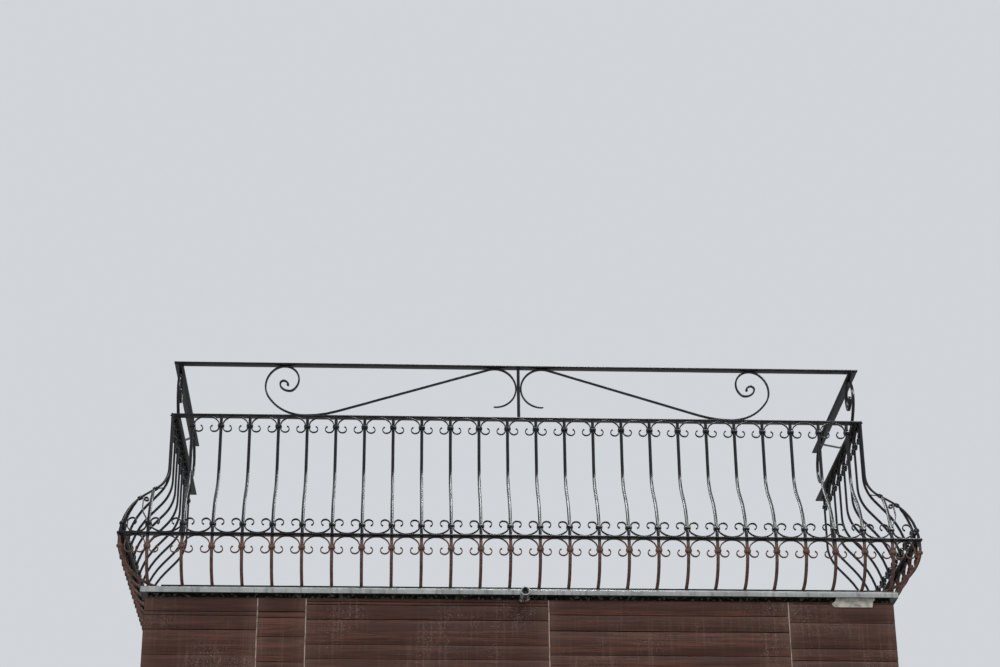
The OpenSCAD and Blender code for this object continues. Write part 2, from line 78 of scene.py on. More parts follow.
# Railing
RAIL_INSET = 0.007
BAR_W, BAR_T = 0.014, 0.010
BAR_PITCH, ROW_SHIFT = 0.130, 0.012
FRONT_BARS, SIDE_BARS, FIRST_SIDE_BAR = 24, 8, 0.050
BULGE, BELLY_LIFT, LEAN = 0.180, 0.190, radians(42)
NECK_R, BELLY_R, TUCK_R, FOOT_LIFT = 0.173, 0.340, 0.150, 0.015
FRONT_SPUR_GAP, SIDE_SPUR_GAP = 0.121, 0.063
line_x = mid_high.x - RAIL_INSET
line_y = -mid_low.y - RAIL_INSET
bars_top = mid_low.z - deck_z
flat_t = mid_high.z - mid_low.z
belly_under, belly_top = belly_low.z - deck_z, belly_high.z - deck_z
front_places = [(i - (FRONT_BARS - 1) / 2) * BAR_PITCH + ROW_SHIFT for i in range(FRONT_BARS)]
side_places = [-(FIRST_SIDE_BAR + i * BAR_PITCH) for i in range(SIDE_BARS)]
front_spur = line_x + BULGE - FRONT_SPUR_GAP
side_spur = -(line_y + BULGE - SIDE_SPUR_GAP)

# Rails
FLAT_W, BELLY_W, BOTTOM_T = 0.040, 0.038, 0.010
MITRE_BEND, BELLY_BEND, FLAT_EDGE = 0.002, 0.008, 0.0024
SEAM_R, SEAM_INSET, PEEN_SINK = 0.0035, 0.002, 0.0004
BOTTOM_DROP = 0.005  # The photo shows the bottom rail this much lower than its solid

# Scrollwork
STRIP_T, STRIP_W, CURL_R = 0.005, 0.012, 0.0204
COLLAR_H, COLLAR_WALL, FIT_GAP = 0.014, 0.003, 0.0005
UPPER_DROP, MIDDLE_RISE, LOWER_DROP = 0.050, 0.044, 0.054
EYE_R = 0.011
LARGE_T, LARGE_W, FRONT_REACH, HOOK_R = 0.008, 0.014, 1.164, 0.098

# Camera of the photograph
FOCAL_PIXELS = 2247.5
PHOTO_WIDTH = 1000
SENSOR_MM = 36.0
CAMERA_PLACE = Vector((-0.559, -10.426, deck_z - 3.213))
CAMERA_YAW, CAMERA_PITCH, CAMERA_ROLL = 0.0504, 0.44355, 0.0083

# Floor below the eye of someone who looks up at the balcony
FLOOR_Z = deck_z - 7.5


# Paths

def trail(moves, place=(0.0, 0.0), heading=0.0, step=radians(6)):
    """Points along a chain of bends and lines, each given as (radius or length, turn to the left)."""
    points = [Vector(place)]
    for size, turn in moves:
        start = points[-1].copy()
        if turn == 0:
            points.append(start + size * Vector((math.cos(heading), math.sin(heading))))
            continue
        count = max(1, math.ceil(abs(turn) / step))
        side = math.copysign(size, turn)
        for k in range(1, count + 1):
            angle = heading + turn * k / count
            points.append(start + side * Vector((math.sin(angle) - math.sin(heading),
                                                 math.cos(heading) - math.cos(angle))))
        heading += turn
    return points


def spaced(points, longest=0.025):
    """The same path with its long stretches divided."""
    result = [points[0]]
    for a, b in zip(points, points[1:]):
        count = max(1, math.ceil((b - a).length / longest))
        result += [a.lerp(b, k / count) for k in range(1, count + 1)]
    return result


def mirrored(points):
    return [Vector((-p.x, p.y)) for p in points]


slope = (BULGE - (NECK_R + BELLY_R) * (1 - math.cos(LEAN))) / math.sin(LEAN)
neck_lift = BELLY_LIFT + (NECK_R + BELLY_R) * math.sin(LEAN) + slope * math.cos(LEAN)
bar_path = spaced(trail([(bars_top - neck_lift, 0), (NECK_R, LEAN), (slope, 0), (BELLY_R, -LEAN),
                         (BELLY_LIFT - FOOT_LIFT - TUCK_R, 0), (TUCK_R, radians(-90)),
                         (BULGE - TUCK_R - RAIL_INSET, 0)], (0.0, bars_top), radians(-90)))


def swell_at(height):
    """How far the bars have swelled out at a height above the deck."""
    a, b = next((a, b) for a, b in zip(bar_path, bar_path[1:]) if b.y <= height)
    return a.x + (b.x - a.x) * (a.y - height) / (a.y - b.y)


def lean_at(height):
    """Lean of the bars from the vertical, outwards going down."""
    step = 0.004
    return math.atan((swell_at(height - step) - swell_at(height + step)) / (2 * step))


def path_from(swell):
    """The bars' path from where it has swelled out to swell."""
    first = next(i for i, p in enumerate(bar_path) if p.x > swell)
    a, b = bar_path[first - 1], bar_path[first]
    return [a.lerp(b, (swell - a.x) / (b.x - a.x))] + bar_path[first:]


def height_at(swell):
    return path_from(swell)[0].y


# Planes of the railing

ALONG, INWARDS, UP = Vector((1, 0, 0)), Vector((0, 1, 0)), Vector((0, 0, 1))


class Panel:
    """A side of the railing, with places given along it, outwards and up from the deck."""

    def __init__(self, origin, along, outward):
        self.origin = Vector(origin)
        self.along = Vector(along).normalized()
        self.outward = Vector(outward).normalized()

    def at(self, along, out, up):
        return self.origin + self.along * along + self.outward * out + UP * up

    def rising(self, lean):
        """Direction of a line that leans inwards as it rises."""
        return UP * math.cos(lean) - self.outward * math.sin(lean)


FRONT = Panel((0, -line_y, deck_z), (1, 0, 0), (0, -1, 0))
RIGHT = Panel((line_x, 0, deck_z), (0, 1, 0), (1, 0, 0))
LEFT = Panel((-line_x, 0, deck_z), (0, 1, 0), (-1, 0, 0))
CORNERS = {side: Panel((side * line_x, -line_y, deck_z), (side, 1, 0), (side, -1, 0)) for side in (-1, 1)}
HANDS = ((-1, "left", LEFT), (1, "right", RIGHT))
RUNS = ((0, "front"), (-1, "left"), (1, "right"))
# Name, plane, places of the bars and places of the spur bars
SIDES = (("front", FRONT, front_places, [-front_spur, front_spur]),
         ("left", LEFT, side_places, [side_spur]),
         ("right", RIGHT, side_places, [side_spur]))


# Meshes

# Signs of the corners of a rectangle, one after the other
QUARTERS = ((1, 1), (-1, 1), (-1, -1), (1, -1))


def rounded(deep, wide, radius, crown=0.0):
    """Outline of a rounded rectangle, as (offset sideways, offset across). Crown swells its wide faces."""
    points = []
    for quarter, (x, y) in enumerate(QUARTERS):
        for k in range(3):
            angle = radians(90) * (quarter + k / 2)
            points.append((x * (deep / 2 - radius - crown) + radius * math.cos(angle),
                           y * (wide / 2 - radius) + radius * math.sin(angle)))
        if crown and quarter in (1, 3):
            for t in (0.5, 0.0, -0.5):
                points.append((x * (deep / 2 - crown * t * t), y * t * (wide / 2 - radius)))
    return points


def skin(mesh, rings, closed=False):
    """Joins rings of points into a tube, with its ends closed unless it meets itself."""
    rings = [[mesh.verts.new(point) for point in ring] for ring in rings]
    pairs = list(zip(rings, rings[1:] + rings[:1] if closed else rings[1:]))
    for a, b in pairs:
        for i in range(len(a)):
            j = (i + 1) % len(a)
            mesh.faces.new((a[i], a[j], b[j], b[i]))
    if not closed:
        mesh.faces.new(rings[0])
        mesh.faces.new(rings[-1][::-1])


def sweep(mesh, path, across, section, grow=None):
    """A bar along a flat path; grow gives its thickness and width factors from the distance along it."""
    last = len(path) - 1
    rings, distance = [], 0.0
    total = sum((b - a).length for a, b in zip(path, path[1:]))
    for i, point in enumerate(path):
        distance += (point - path[i - 1]).length if i else 0.0
        tangent = (path[min(i + 1, last)] - path[max(i - 1, 0)]).normalized()
        side = across.cross(tangent).normalized()
        thick, wide = grow(distance, total) if grow else (1.0, 1.0)
        rings.append([point + side * a * thick + across * b * wide for a, b in section])
    skin(mesh, rings)


# How far hammer marks and wear move a surface
IRON_MARKS, RAIL_MARKS, STRIP_MARKS, COLLAR_MARKS = 0.0003, 0.00022, 0.0002, 0.00025
EDGING_DENTS, BOARD_WEAR, FILLER_WEAR = 0.0003, 0.0004, 0.0009

noise.seed_set(7)  # Without it noise_vector starts from the clock and no two runs are the same


def uneven(mesh, amount):
    """Moves each point a little, its neighbours with it, as forged iron and old boards are never even."""
    for vert in mesh.verts:
        slow = noise.noise_vector(vert.co * 17.0)
        quick = noise.noise_vector(vert.co * 71.0 + Vector((5.0, 3.0, 9.0)))
        vert.co += slow * amount + quick * amount * 0.5


def piece(name, mesh, look, marks=0.0, smooth=40):
    """Turns a mesh into a piece, which stands for the frame's node of the same name, if there is one."""
    slot, material = look
    if marks:
        uneven(mesh, marks)
    for vert in mesh.verts:
        vert.co = [min(max(vert.co[i], cad_box[0][i]), cad_box[1][i]) for i in range(3)]
    bmesh.ops.recalc_face_normals(mesh, faces=mesh.faces)
    data = bpy.data.meshes.new(name)
    mesh.to_mesh(data)
    mesh.free()
    data.shade_smooth()
    data.set_sharp_from_angle(angle=radians(smooth))
    data.materials.append(material)
    item = bpy.data.objects.new(name, data)
    bpy.context.scene.collection.objects.link(item)
    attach(item, "root")
    if name in nodes:
        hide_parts(name)


# Materials

def fill(tree, node, inputs):
    """Sets or links a node's inputs."""
    for socket, value in inputs.items():
        if isinstance(value, bpy.types.NodeSocket):
            tree.links.new(value, node.inputs[socket])
        elif value is not None:
            node.inputs[socket].default_value = value


def add(tree, kind, inputs, output=0, **settings):
    """Adds a node and gives one of its outputs."""
    node = tree.nodes.new(kind)
    for name, value in settings.items():
        setattr(node, name, value)
    fill(tree, node, inputs)
    return node.outputs[output]


class Shader:
    """A node material that is built up in coats of colour and layers of relief."""

    def __init__(self, name, specular=0.5):
        self.material = bpy.data.materials.new(name)
        self.material.use_nodes = True
        self.tree = self.material.node_tree
        self.surface = self.tree.nodes["Principled BSDF"]
        self.surface.inputs["Specular IOR Level"].default_value = specular
        self.place = self.node("ShaderNodeTexCoord", {}, "Object")
        self.colour = self.normal = None

    def node(self, *given, **settings):
        return add(self.tree, *given, **settings)

    def calc(self, operation, a, b):
        return self.node("ShaderNodeMath", {0: a, 1: b}, operation=operation)

    def times(self, a, b):
        return self.calc("MULTIPLY", a, b)

    def stretched(self, scale, vector=None):
        return self.node("ShaderNodeMapping", {"Vector": vector or self.place, "Scale": scale})

    def noise(self, scale, detail=3.0, rough=0.55, vector=None, distortion=0.0):
        inputs = {"Vector": vector or self.place, "Scale": scale, "Detail": detail, "Roughness": rough,
                  "Distortion": distortion}
        return self.node("ShaderNodeTexNoise", inputs, "Fac")

    def cells(self, scale):
        return self.node("ShaderNodeTexVoronoi", {"Vector": self.place, "Scale": scale}, "Distance")

    def span(self, value, low, high, to_low=0.0, to_high=1.0):
        """A smooth step of value between low and high."""
        limits = {"From Min": low, "From Max": high, "To Min": to_low, "To Max": to_high}
        return self.node("ShaderNodeMapRange", {"Value": value, **limits}, "Result",
                         interpolation_type="SMOOTHSTEP")

    def mix(self, factor, a, b):
        a, b = [(*value, 1.0) if isinstance(value, tuple) else value for value in (a, b)]
        return self.node("ShaderNodeMix", {0: factor, 6: a, 7: b}, 2, data_type="RGBA")

    def height(self):
        return self.node("ShaderNodeSeparateXYZ", {0: self.place}, "Z")

    def geometry(self, output):
        return self.node("ShaderNodeNewGeometry", {}, output)

    def facing_up(self):
        return self.node("ShaderNodeSeparateXYZ", {0: self.geometry("Normal")}, "Z")

    def tone(self):
        """The tone that a mesh carries in its faces."""
        return self.node("ShaderNodeAttribute", {}, "Fac", attribute_name="tone")

    def coat(self, shade, value, low, high, most=1.0):
        """Lays a shade over the colour so far: none of it where value is low, most where it is high."""
        self.colour = self.mix(self.span(value, low, high, 0.0, most), self.colour, shade)

    def relief(self, height, distance, strength):
        inputs = {"Distance": distance, "Strength": strength, "Height": height, "Normal": self.normal}
        self.normal = self.node("ShaderNodeBump", inputs, "Normal")

    def finish(self, roughness):
        inputs = {"Base Color": self.colour, "Roughness": roughness, "Normal": self.normal}
        fill(self.tree, self.surface, inputs)
        return self.material


def iron(name, patches, rust_below):
    """Glossy black paint over iron, with rust in patches, at worn edges and below a height, and paler where
    it faces up: dust, and a painted highlight on the bars' leaning faces.
    """
    s = Shader(name, 0.6)
    blotch = s.noise(13.0, 5.0, 0.62)
    speck = s.noise(120.0, 4.0, 0.6)
    grain = s.noise(620.0, 3.0, 0.6)
    height = s.calc("ADD", s.height(), s.times(s.calc("SUBTRACT", blotch, 0.5), 0.04))
    low = s.span(height, deck_z + rust_below, deck_z + rust_below - 0.035)
    ragged = s.span(s.calc("ADD", blotch, s.times(speck, 0.5)), 0.50, 0.78, 0.70, 1.0)
    spots = s.times(s.span(blotch, 0.70 - patches, 0.78 - patches * 0.6), s.span(speck, 0.38, 0.55))
    flaking = s.calc("MAXIMUM", spots, s.times(low, ragged))
    bare = s.times(s.span(s.geometry("Pointiness"), 0.54, 0.62), s.span(speck, 0.55, 0.68, 0.0, 0.22))
    rust = s.calc("MAXIMUM", flaking, bare)
    paint = s.mix(s.span(blotch, 0.35, 0.65), (0.0045, 0.005, 0.007), (0.010, 0.0115, 0.016))
    s.colour = s.mix(s.span(speck, 0.35, 0.65), (0.070, 0.032, 0.023), (0.185, 0.085, 0.062))
    s.coat((0.36, 0.20, 0.145), grain, 0.58, 0.72)
    s.coat((0.034, 0.019, 0.016), s.noise(38.0, 4.0, 0.6), 0.56, 0.70, 0.85)
    # Paler on faces that tilt upwards: partly dust, partly a painted highlight that brightens the bars'
    # leaning faces as a reflection of the sky would.
    dust_and_highlight = s.times(s.span(s.facing_up(), 0.25, 0.95), s.span(blotch, 0.35, 0.65, 0.30, 0.55))
    s.colour = s.mix(dust_and_highlight, s.mix(rust, paint, s.colour), (0.21, 0.205, 0.20))
    rough = s.calc("ADD", s.span(flaking, 0.0, 1.0, 0.23, 0.72), s.span(speck, 0.35, 0.7, 0.0, 0.03))
    s.relief(s.noise(60.0, 2.0, 0.5), 0.0005, 0.04)
    s.relief(grain, 0.0001, 0.05)
    s.relief(s.times(flaking, s.noise(330.0, 4.0, 0.7)), 0.0016, 0.6)
    return s.finish(s.calc("ADD", rough, s.times(dust_and_highlight, 0.15)))


def pale_edging():
    """Dull pale metal with water stains that run over its edge, and nearly black on faces that look down:
    dirt, and painted shade under its roll.
    """
    s = Shader("pale edging", 0.6)
    blotch = s.noise(7.0, 5.0, 0.6)
    runs = s.noise(1.0, 4.0, 0.6, s.stretched((38.0, 38.0, 3.0)))
    speck = s.noise(240.0, 4.0, 0.65)
    s.colour = s.mix(s.span(blotch, 0.35, 0.65), (0.375, 0.40, 0.395), (0.51, 0.53, 0.53))
    lower = s.span(s.height(), deck_z + 0.002, deck_z - 0.020, 0.25, 0.70)
    s.colour = s.mix(s.times(s.span(runs, 0.50, 0.68), lower), s.colour, (0.17, 0.18, 0.16))
    # Faces that look down are darkened almost to black: dirt, and painted shade under the edging's roll.
    dirt_and_shade_below = s.times(s.span(s.facing_up(), -0.80, -0.98), s.span(blotch, 0.25, 0.6, 0.75, 1.0))
    s.colour = s.mix(dirt_and_shade_below, s.colour, (0.030, 0.032, 0.027))
    s.coat((0.12, 0.11, 0.095), speck, 0.60, 0.72, 0.6)
    s.coat((0.58, 0.59, 0.58), s.cells(55.0), 0.16, 0.08, 0.35)
    s.relief(s.noise(26.0, 3.0, 0.5), 0.0012, 0.25)
    s.relief(speck, 0.0003, 0.3)
    return s.finish(s.span(blotch, 0.3, 0.7, 0.28, 0.46))


def stained_board():
    """Red-brown boarding with fine grain along it, pale runs down it and lime specks."""
    s = Shader("stained board", 0.28)
    tone = s.tone()
    shift = s.node("ShaderNodeCombineXYZ", {0: s.times(tone, 7.3), 2: s.times(tone, 3.1)})
    moved = s.node("ShaderNodeVectorMath", {0: s.place, 1: shift}, operation="ADD")
    grain = s.noise(1.0, 6.0, 0.62, s.stretched((5.0, 5.0, 260.0), moved), 0.6)
    band = s.noise(1.0, 3.0, 0.5, s.stretched((1.2, 1.2, 34.0), moved), 0.9)
    runs = s.noise(1.0, 5.0, 0.65, s.stretched((70.0, 70.0, 1.6)))
    blotch = s.noise(3.2, 5.0, 0.6)
    s.colour = s.mix(s.span(grain, 0.36, 0.62), (0.028, 0.0095, 0.0062), (0.134, 0.050, 0.032))
    s.coat((0.044, 0.0155, 0.0105), band, 0.42, 0.62, 0.75)
    s.coat((0.040, 0.0150, 0.0105), tone, 0.0, 1.0, 0.45)
    drip = s.times(s.span(runs, 0.50, 0.70, 0.0, 0.24), s.span(blotch, 0.40, 0.62, 0.12, 1.0))
    s.colour = s.mix(drip, s.colour, (0.25, 0.150, 0.115))
    specks = s.times(s.span(s.noise(330.0, 3.0, 0.6), 0.60, 0.70), s.span(blotch, 0.48, 0.64))
    s.colour = s.mix(specks, s.colour, (0.48, 0.40, 0.34))
    s.coat((0.15, 0.080, 0.060), s.geometry("Pointiness"), 0.53, 0.60, 0.45)
    s.relief(grain, 0.0011, 0.55)
    s.relief(band, 0.0018, 0.25)
    return s.finish(s.span(grain, 0.3, 0.7, 0.50, 0.74))


def rough_concrete():
    """Grey concrete with sand, pores and damp patches."""
    s = Shader("rough concrete")
    blotch = s.noise(4.0, 5.0, 0.6)
    sand = s.noise(260.0, 4.0, 0.7)
    pores = s.cells(95.0)
    s.colour = s.mix(s.span(blotch, 0.35, 0.65), (0.19, 0.18, 0.165), (0.36, 0.345, 0.315))
    s.coat((0.46, 0.44, 0.40), sand, 0.35, 0.65, 0.35)
    s.coat((0.07, 0.065, 0.06), pores, 0.17, 0.09, 0.7)
    s.relief(sand, 0.0012, 0.6)
    s.relief(s.span(pores, 0.17, 0.09, 0.0, -1.0), 0.0025, 0.7)
    return s.finish(s.span(blotch, 0.3, 0.7, 0.80, 0.95))


def floor_tile():
    """Unglazed tile, each with its own tone, worn and dusty."""
    s = Shader("floor tile")
    cloud = s.noise(9.0, 5.0, 0.6)
    grit = s.noise(420.0, 3.0, 0.6)
    s.colour = s.mix(s.tone(), (0.235, 0.125, 0.080), (0.315, 0.185, 0.125))
    s.coat((0.30, 0.235, 0.185), cloud, 0.35, 0.7, 0.6)
    s.coat((0.17, 0.12, 0.09), grit, 0.58, 0.70, 0.55)
    s.relief(s.noise(60.0, 3.0, 0.5), 0.0008, 0.4)
    s.relief(grit, 0.0004, 0.6)
    return s.finish(s.span(cloud, 0.3, 0.7, 0.48, 0.72))


def grout():
    """Grey joint mortar, also the screed under the tiles."""
    s = Shader("grout")
    cloud = s.noise(12.0, 4.0, 0.6)
    sand = s.noise(700.0, 3.0, 0.7)
    s.colour = s.mix(s.span(cloud, 0.35, 0.65), (0.16, 0.145, 0.125), (0.30, 0.28, 0.245))
    s.coat((0.42, 0.40, 0.36), sand, 0.55, 0.7, 0.5)
    s.relief(sand, 0.0008, 0.8)
    return s.finish(s.span(cloud, 0.3, 0.7, 0.85, 0.97))


def dirty_shaded_mortar():
    """Dirty bedding mortar, painted nearly black as the shade in the gap under the edging, with mossy and
    pale lumps.
    """
    s = Shader("grimy mortar in painted shade", 0.2)
    sand = s.noise(380.0, 4.0, 0.7)
    cloud = s.noise(30.0, 4.0, 0.6)
    # Nearly black: dirt, and painted shade for the gap under the edging.
    s.colour = s.mix(s.span(cloud, 0.35, 0.65), (0.005, 0.005, 0.004), (0.016, 0.0165, 0.012))
    s.coat((0.130, 0.142, 0.105), s.noise(65.0, 3.0, 0.6), 0.52, 0.62, 0.9)
    s.relief(sand, 0.0015, 0.7)
    return s.finish(s.span(sand, 0.3, 0.7, 0.85, 0.98))


def lime(name, dark, pale):
    """Lime or filler, pale where it is fresh and stained where water has run over it."""
    s = Shader(name, 0.3)
    cloud = s.noise(42.0, 4.0, 0.6)
    runs = s.noise(1.0, 4.0, 0.6, s.stretched((30.0, 30.0, 190.0)))
    s.colour = s.mix(s.span(cloud, 0.32, 0.60), dark, pale)
    s.coat(dark, runs, 0.55, 0.70, 0.5)
    s.coat(pale, s.geometry("Pointiness"), 0.52, 0.58, 0.7)
    s.relief(runs, 0.0010, 0.5)
    s.relief(s.noise(500.0, 3.0, 0.7), 0.0005, 0.6)
    return s.finish(s.span(cloud, 0.3, 0.7, 0.70, 0.92))


# Looks, each as its slot and its material
BLACK = ("black_iron", iron("black iron", 0.0, -1.0))
SWELL = ("black_iron", iron("black iron turning to rust", 0.0, belly_under))
RUST = ("rusty_iron", iron("rusty iron", 0.04, belly_under - 0.002))
PALE = ("pale_metal", pale_edging())
FLASHING = ("pale_metal", lime("torn strip", (0.29, 0.28, 0.235), (0.60, 0.575, 0.51)))
BOARD = ("apron_board", stained_board())
FILLER = ("apron_board", lime("joint filler", (0.16, 0.105, 0.085), (0.46, 0.36, 0.31)))
# The bedding mortar's near black is partly painted shade for the gap under the edging.
DIRTY_SHADED_MORTAR = ("concrete", dirty_shaded_mortar())
MORTAR = ("concrete", lime("pale mortar", (0.14, 0.105, 0.085), (0.40, 0.33, 0.28)))
TILE = ("floor_tile", floor_tile())
GROUT = ("floor_tile", grout())


# Bars

BAR_SECTION = rounded(BAR_T, BAR_W, 0.0022, 0.0004)


def bar(mesh, panel, along, path=bar_path, stretch=1.0):
    points = [panel.at(along, p.x * stretch, p.y) for p in path]
    sweep(mesh, points, panel.along, BAR_SECTION)


# Welds, as half width, half depth and height
HEAD_WELD, FOOT_WELD = (0.0125, 0.0095, 0.007), (0.0085, 0.0115, 0.005)
POST_WELD, PEENED_END = (0.0125, 0.0125, 0.006), (0.0058, 0.0055, 0.0026)


def weld(mesh, place, axis, wide, deep, high):
    """A small fillet of weld round a joint: a low ring that is widest where it meets the face."""
    axis = axis.normalized()
    side = axis.orthogonal().normalized() if abs(axis.z) < 0.9 else ALONG
    other = axis.cross(side)
    rings = []
    for k, (lift, grow) in enumerate(((0.0, 1.0), (0.3, 0.92), (0.7, 0.62), (1.0, 0.30))):
        ring = []
        for i in range(16):
            angle = math.tau * i / 16
            wave = 1.0 + 0.10 * math.sin(5 * angle + k + place.x * 90)
            ring.append(place + axis * lift * high + side * math.cos(angle) * (wide * grow * wave)
                        + other * math.sin(angle) * (deep * grow * wave))
        rings.append(ring)
    skin(mesh, rings)


for word, panel, places, _ in SIDES:
    mesh = bmesh.new()
    for along in places:
        bar(mesh, panel, along)
        weld(mesh, panel.at(along, 0, bars_top), -UP, *HEAD_WELD)
        weld(mesh, panel.at(along, RAIL_INSET, FOOT_LIFT), panel.outward, *FOOT_WELD)
    piece(f"balusters_{word}", mesh, SWELL, IRON_MARKS)


def cut(mesh, place, normal):
    """Cuts off what lies on the normal's side of a plane and closes the ends."""
    result = bmesh.ops.bisect_plane(mesh, geom=mesh.verts[:] + mesh.edges[:] + mesh.faces[:], dist=1e-7,
                                    plane_co=place, plane_no=normal, clear_outer=True)
    edges = [e for e in result["geom_cut"] if isinstance(e, bmesh.types.BMEdge)]
    bmesh.ops.holes_fill(mesh, edges=edges, sides=0)


SPUR_OVERLAP = 0.012  # How far a spur bar runs into its corner bar before it is cut

for side, word, side_plane in HANDS:
    panel = CORNERS[side]
    mesh = bmesh.new()
    bar(mesh, panel, 0.0, stretch=math.sqrt(2))
    weld(mesh, panel.at(0, 0, bars_top), -UP, *HEAD_WELD)
    piece(f"corner_bar_{word}", mesh, SWELL, IRON_MARKS)

    spurs = bmesh.new()
    for plane, along, swell, sign in ((FRONT, side * front_spur, front_spur - line_x, 1),
                                      (side_plane, side_spur, -side_spur - line_y, -1)):
        mesh = bmesh.new()
        bar(mesh, plane, along, path_from(swell - SPUR_OVERLAP))
        normal = panel.along * sign
        cut(mesh, panel.origin - normal * BAR_W / 2, normal)
        data = bpy.data.meshes.new("spur")
        mesh.to_mesh(data)
        mesh.free()
        spurs.from_mesh(data)
        bpy.data.meshes.remove(data)
    piece(f"spur_bars_{word}", spurs, SWELL, IRON_MARKS)


# Rails

def rail_plan(side, half, depth, wide, bend):
    """Plan of a rail as pairs of an outer and an inner point.

    Side 0 is the front, from mitre to mitre, and the others run from their mitre back to the wall.
    Bend is the radius of the outer corner.
    """
    fillet, steps = 0.0012, 6
    start = radians(-90 if side == 0 else -45)
    pairs = []
    for k in range(steps + 1):
        angle = start + radians(45) * k / steps
        turn = Vector((math.cos(angle), math.sin(angle)))
        pairs.append((Vector((half - bend, bend - depth)) + turn * bend,
                      Vector((half - wide - fillet, wide + fillet - depth)) + turn * fillet))
    if side == 0:
        return [tuple(Vector((-p.x, p.y)) for p in pair) for pair in pairs[::-1]] + pairs
    pairs.append((Vector((half, 0.0)), Vector((half - wide, 0.0))))
    return [tuple(Vector((side * p.x, p.y)) for p in pair) for pair in pairs]


def flat_bar(mesh, plan, wide, low, high):
    """A flat bar over a plan of outer and inner points."""
    pairs = [plan[0]]
    for (a, b), (c, d) in zip(plan, plan[1:]):
        count = max(1, math.ceil(min((c - a).length, (d - b).length) / 0.03))
        pairs += [(a.lerp(c, k / count), b.lerp(d, k / count)) for k in range(1, count + 1)]
    rings = []
    for outer, inner in pairs:
        rings.append([Vector((*outer.lerp(inner, 0.5 - s / wide), (low + high) / 2 + z))
                      for s, z in rounded(wide, high - low, FLAT_EDGE)])
    skin(mesh, rings)


def rails_of(name, low, high, wide, bend, look):
    """The front and both sides of a rail that runs round the balcony, with joints at the corners."""
    for side, word in RUNS:
        mesh = bmesh.new()
        flat_bar(mesh, rail_plan(side, high.x, -low.y, wide, bend), wide, low.z, high.z)
        piece(f"{name}_{word}", mesh, look, RAIL_MARKS)


def seam(mesh, start, end, lift):
    """A bead of weld along a mitre, with its ripples."""
    path = spaced([Vector((*start, lift)), Vector((*end, lift))], 0.003)
    angles = [radians(36 * k) for k in range(10)]
    section = [(SEAM_R * math.cos(a) * 0.6, SEAM_R * math.sin(a)) for a in angles]
    across = UP.cross((path[-1] - path[0]).normalized())
    sweep(mesh, path, across, section, lambda d, total: (1 + 0.25 * math.sin(d * 1900),) * 2)


rails_of("handrail", hand_low, hand_high, FLAT_W, MITRE_BEND, BLACK)
rails_of("mid_rail", mid_low, mid_high, FLAT_W, MITRE_BEND, BLACK)
rails_of("belly_rail", belly_low, belly_high, BELLY_W, BELLY_BEND, RUST)
rails_of("bottom_rail", bottom_low, bottom_high - UP * BOTTOM_DROP, BOTTOM_T, MITRE_BEND, BLACK)

mesh = bmesh.new()
for low, high, wide, bend in ((hand_low, hand_high, FLAT_W, 0.0), (mid_low, mid_high, FLAT_W, 0.0),
                              (belly_low, belly_high, BELLY_W, BELLY_BEND)):
    start, end = bend * (1 - math.sqrt(0.5)) + SEAM_INSET, wide - SEAM_INSET
    for side, *_ in HANDS:
        for level in (low.z, high.z):
            outer, inner = [(side * (high.x - inset), low.y + inset) for inset in (start, end)]
            seam(mesh, outer, inner, level)
piece("corner_welds", mesh, BLACK)

mesh = bmesh.new()
for _, panel, places, _ in SIDES:
    for along in places:
        weld(mesh, panel.at(along, 0.0, bars_top + flat_t - PEEN_SINK), UP, *PEENED_END)
piece("peened_ends", mesh, BLACK)


# Small scrolls

CROWN_TURN, PATH_STEP, LONGEST = radians(42), radians(9), 0.012
STRIP_SECTION = rounded(STRIP_T, STRIP_W, 0.0019)
CURL = [(CURL_R, radians(-120)), (CURL_R * 0.75, radians(-90)), (CURL_R * 0.5, radians(-60))]

middle_z = belly_top + MIDDLE_RISE
lower_z = belly_under - LOWER_DROP
middle_lean = math.atan((BULGE - swell_at(middle_z)) / MIDDLE_RISE)
lower_lean = -math.atan((BULGE - swell_at(lower_z)) / LOWER_DROP)
# Drop of a row's scrolls, place of their tops outwards and up, lean, and 1 for hanging or -1 for standing
UPPER_ROW = (UPPER_DROP, 0.0, bars_top, 0.0, 1)
MIDDLE_ROW = (MIDDLE_RISE, BULGE, belly_top, middle_lean, -1)
LOWER_ROW = (LOWER_DROP, BULGE, belly_under, lower_lean, 1)


def half_arch(half, drop):
    """Half an arch from its top down to the end of its leg."""
    tangent = math.tan(CROWN_TURN / 2)
    shoulder = (drop - half * tangent) / (math.cos(CROWN_TURN) - (1 - math.sin(CROWN_TURN)) * tangent)
    crown = (half - shoulder * (1 - math.sin(CROWN_TURN))) / math.sin(CROWN_TURN)
    return [(crown, -CROWN_TURN), (shoulder, CROWN_TURN - radians(90)), (COLLAR_H, 0)]


def rise(distance, reach, least):
    """A factor that grows from least at an end to 1 further in."""
    return least + (1 - least) * min(1.0, distance / reach)


def knob(distance, middle, reach, size):
    """A factor for a swelling near an end."""
    return 1.0 + size * math.exp(-((distance - middle) / reach) ** 2)


def closing(distance, reach):
    """A factor that rounds off an end."""
    return math.sqrt(max(0.02, min(1.0, distance / reach)))


def tip(distance, total, both=True):
    """Thickness and width of a strip whose ends are drawn out thin and rolled into a small knob."""
    near = min(distance, total - distance) if both else total - distance
    close = closing(near, 0.0028)
    thick = rise(near, 0.045, 0.80) * knob(near, 0.0035, 0.0030, 0.75)
    return thick * close, rise(near, 0.03, 0.86) * close


def one_end(distance, total):
    return tip(distance, total, False)


def small_scroll(clear, drop, both):
    """An arch with a curl inwards at its right end, or at both ends."""
    arch = half_arch(clear / 2 - STRIP_T / 2, drop - COLLAR_H / 2 - STRIP_T / 2)
    top = (0.0, -STRIP_T / 2)
    right = trail(arch + CURL, top, 0.0, PATH_STEP)
    left = trail(arch + (CURL if both else []), top, 0.0, PATH_STEP)
    return spaced(mirrored(left)[::-1] + right[1:], LONGEST)


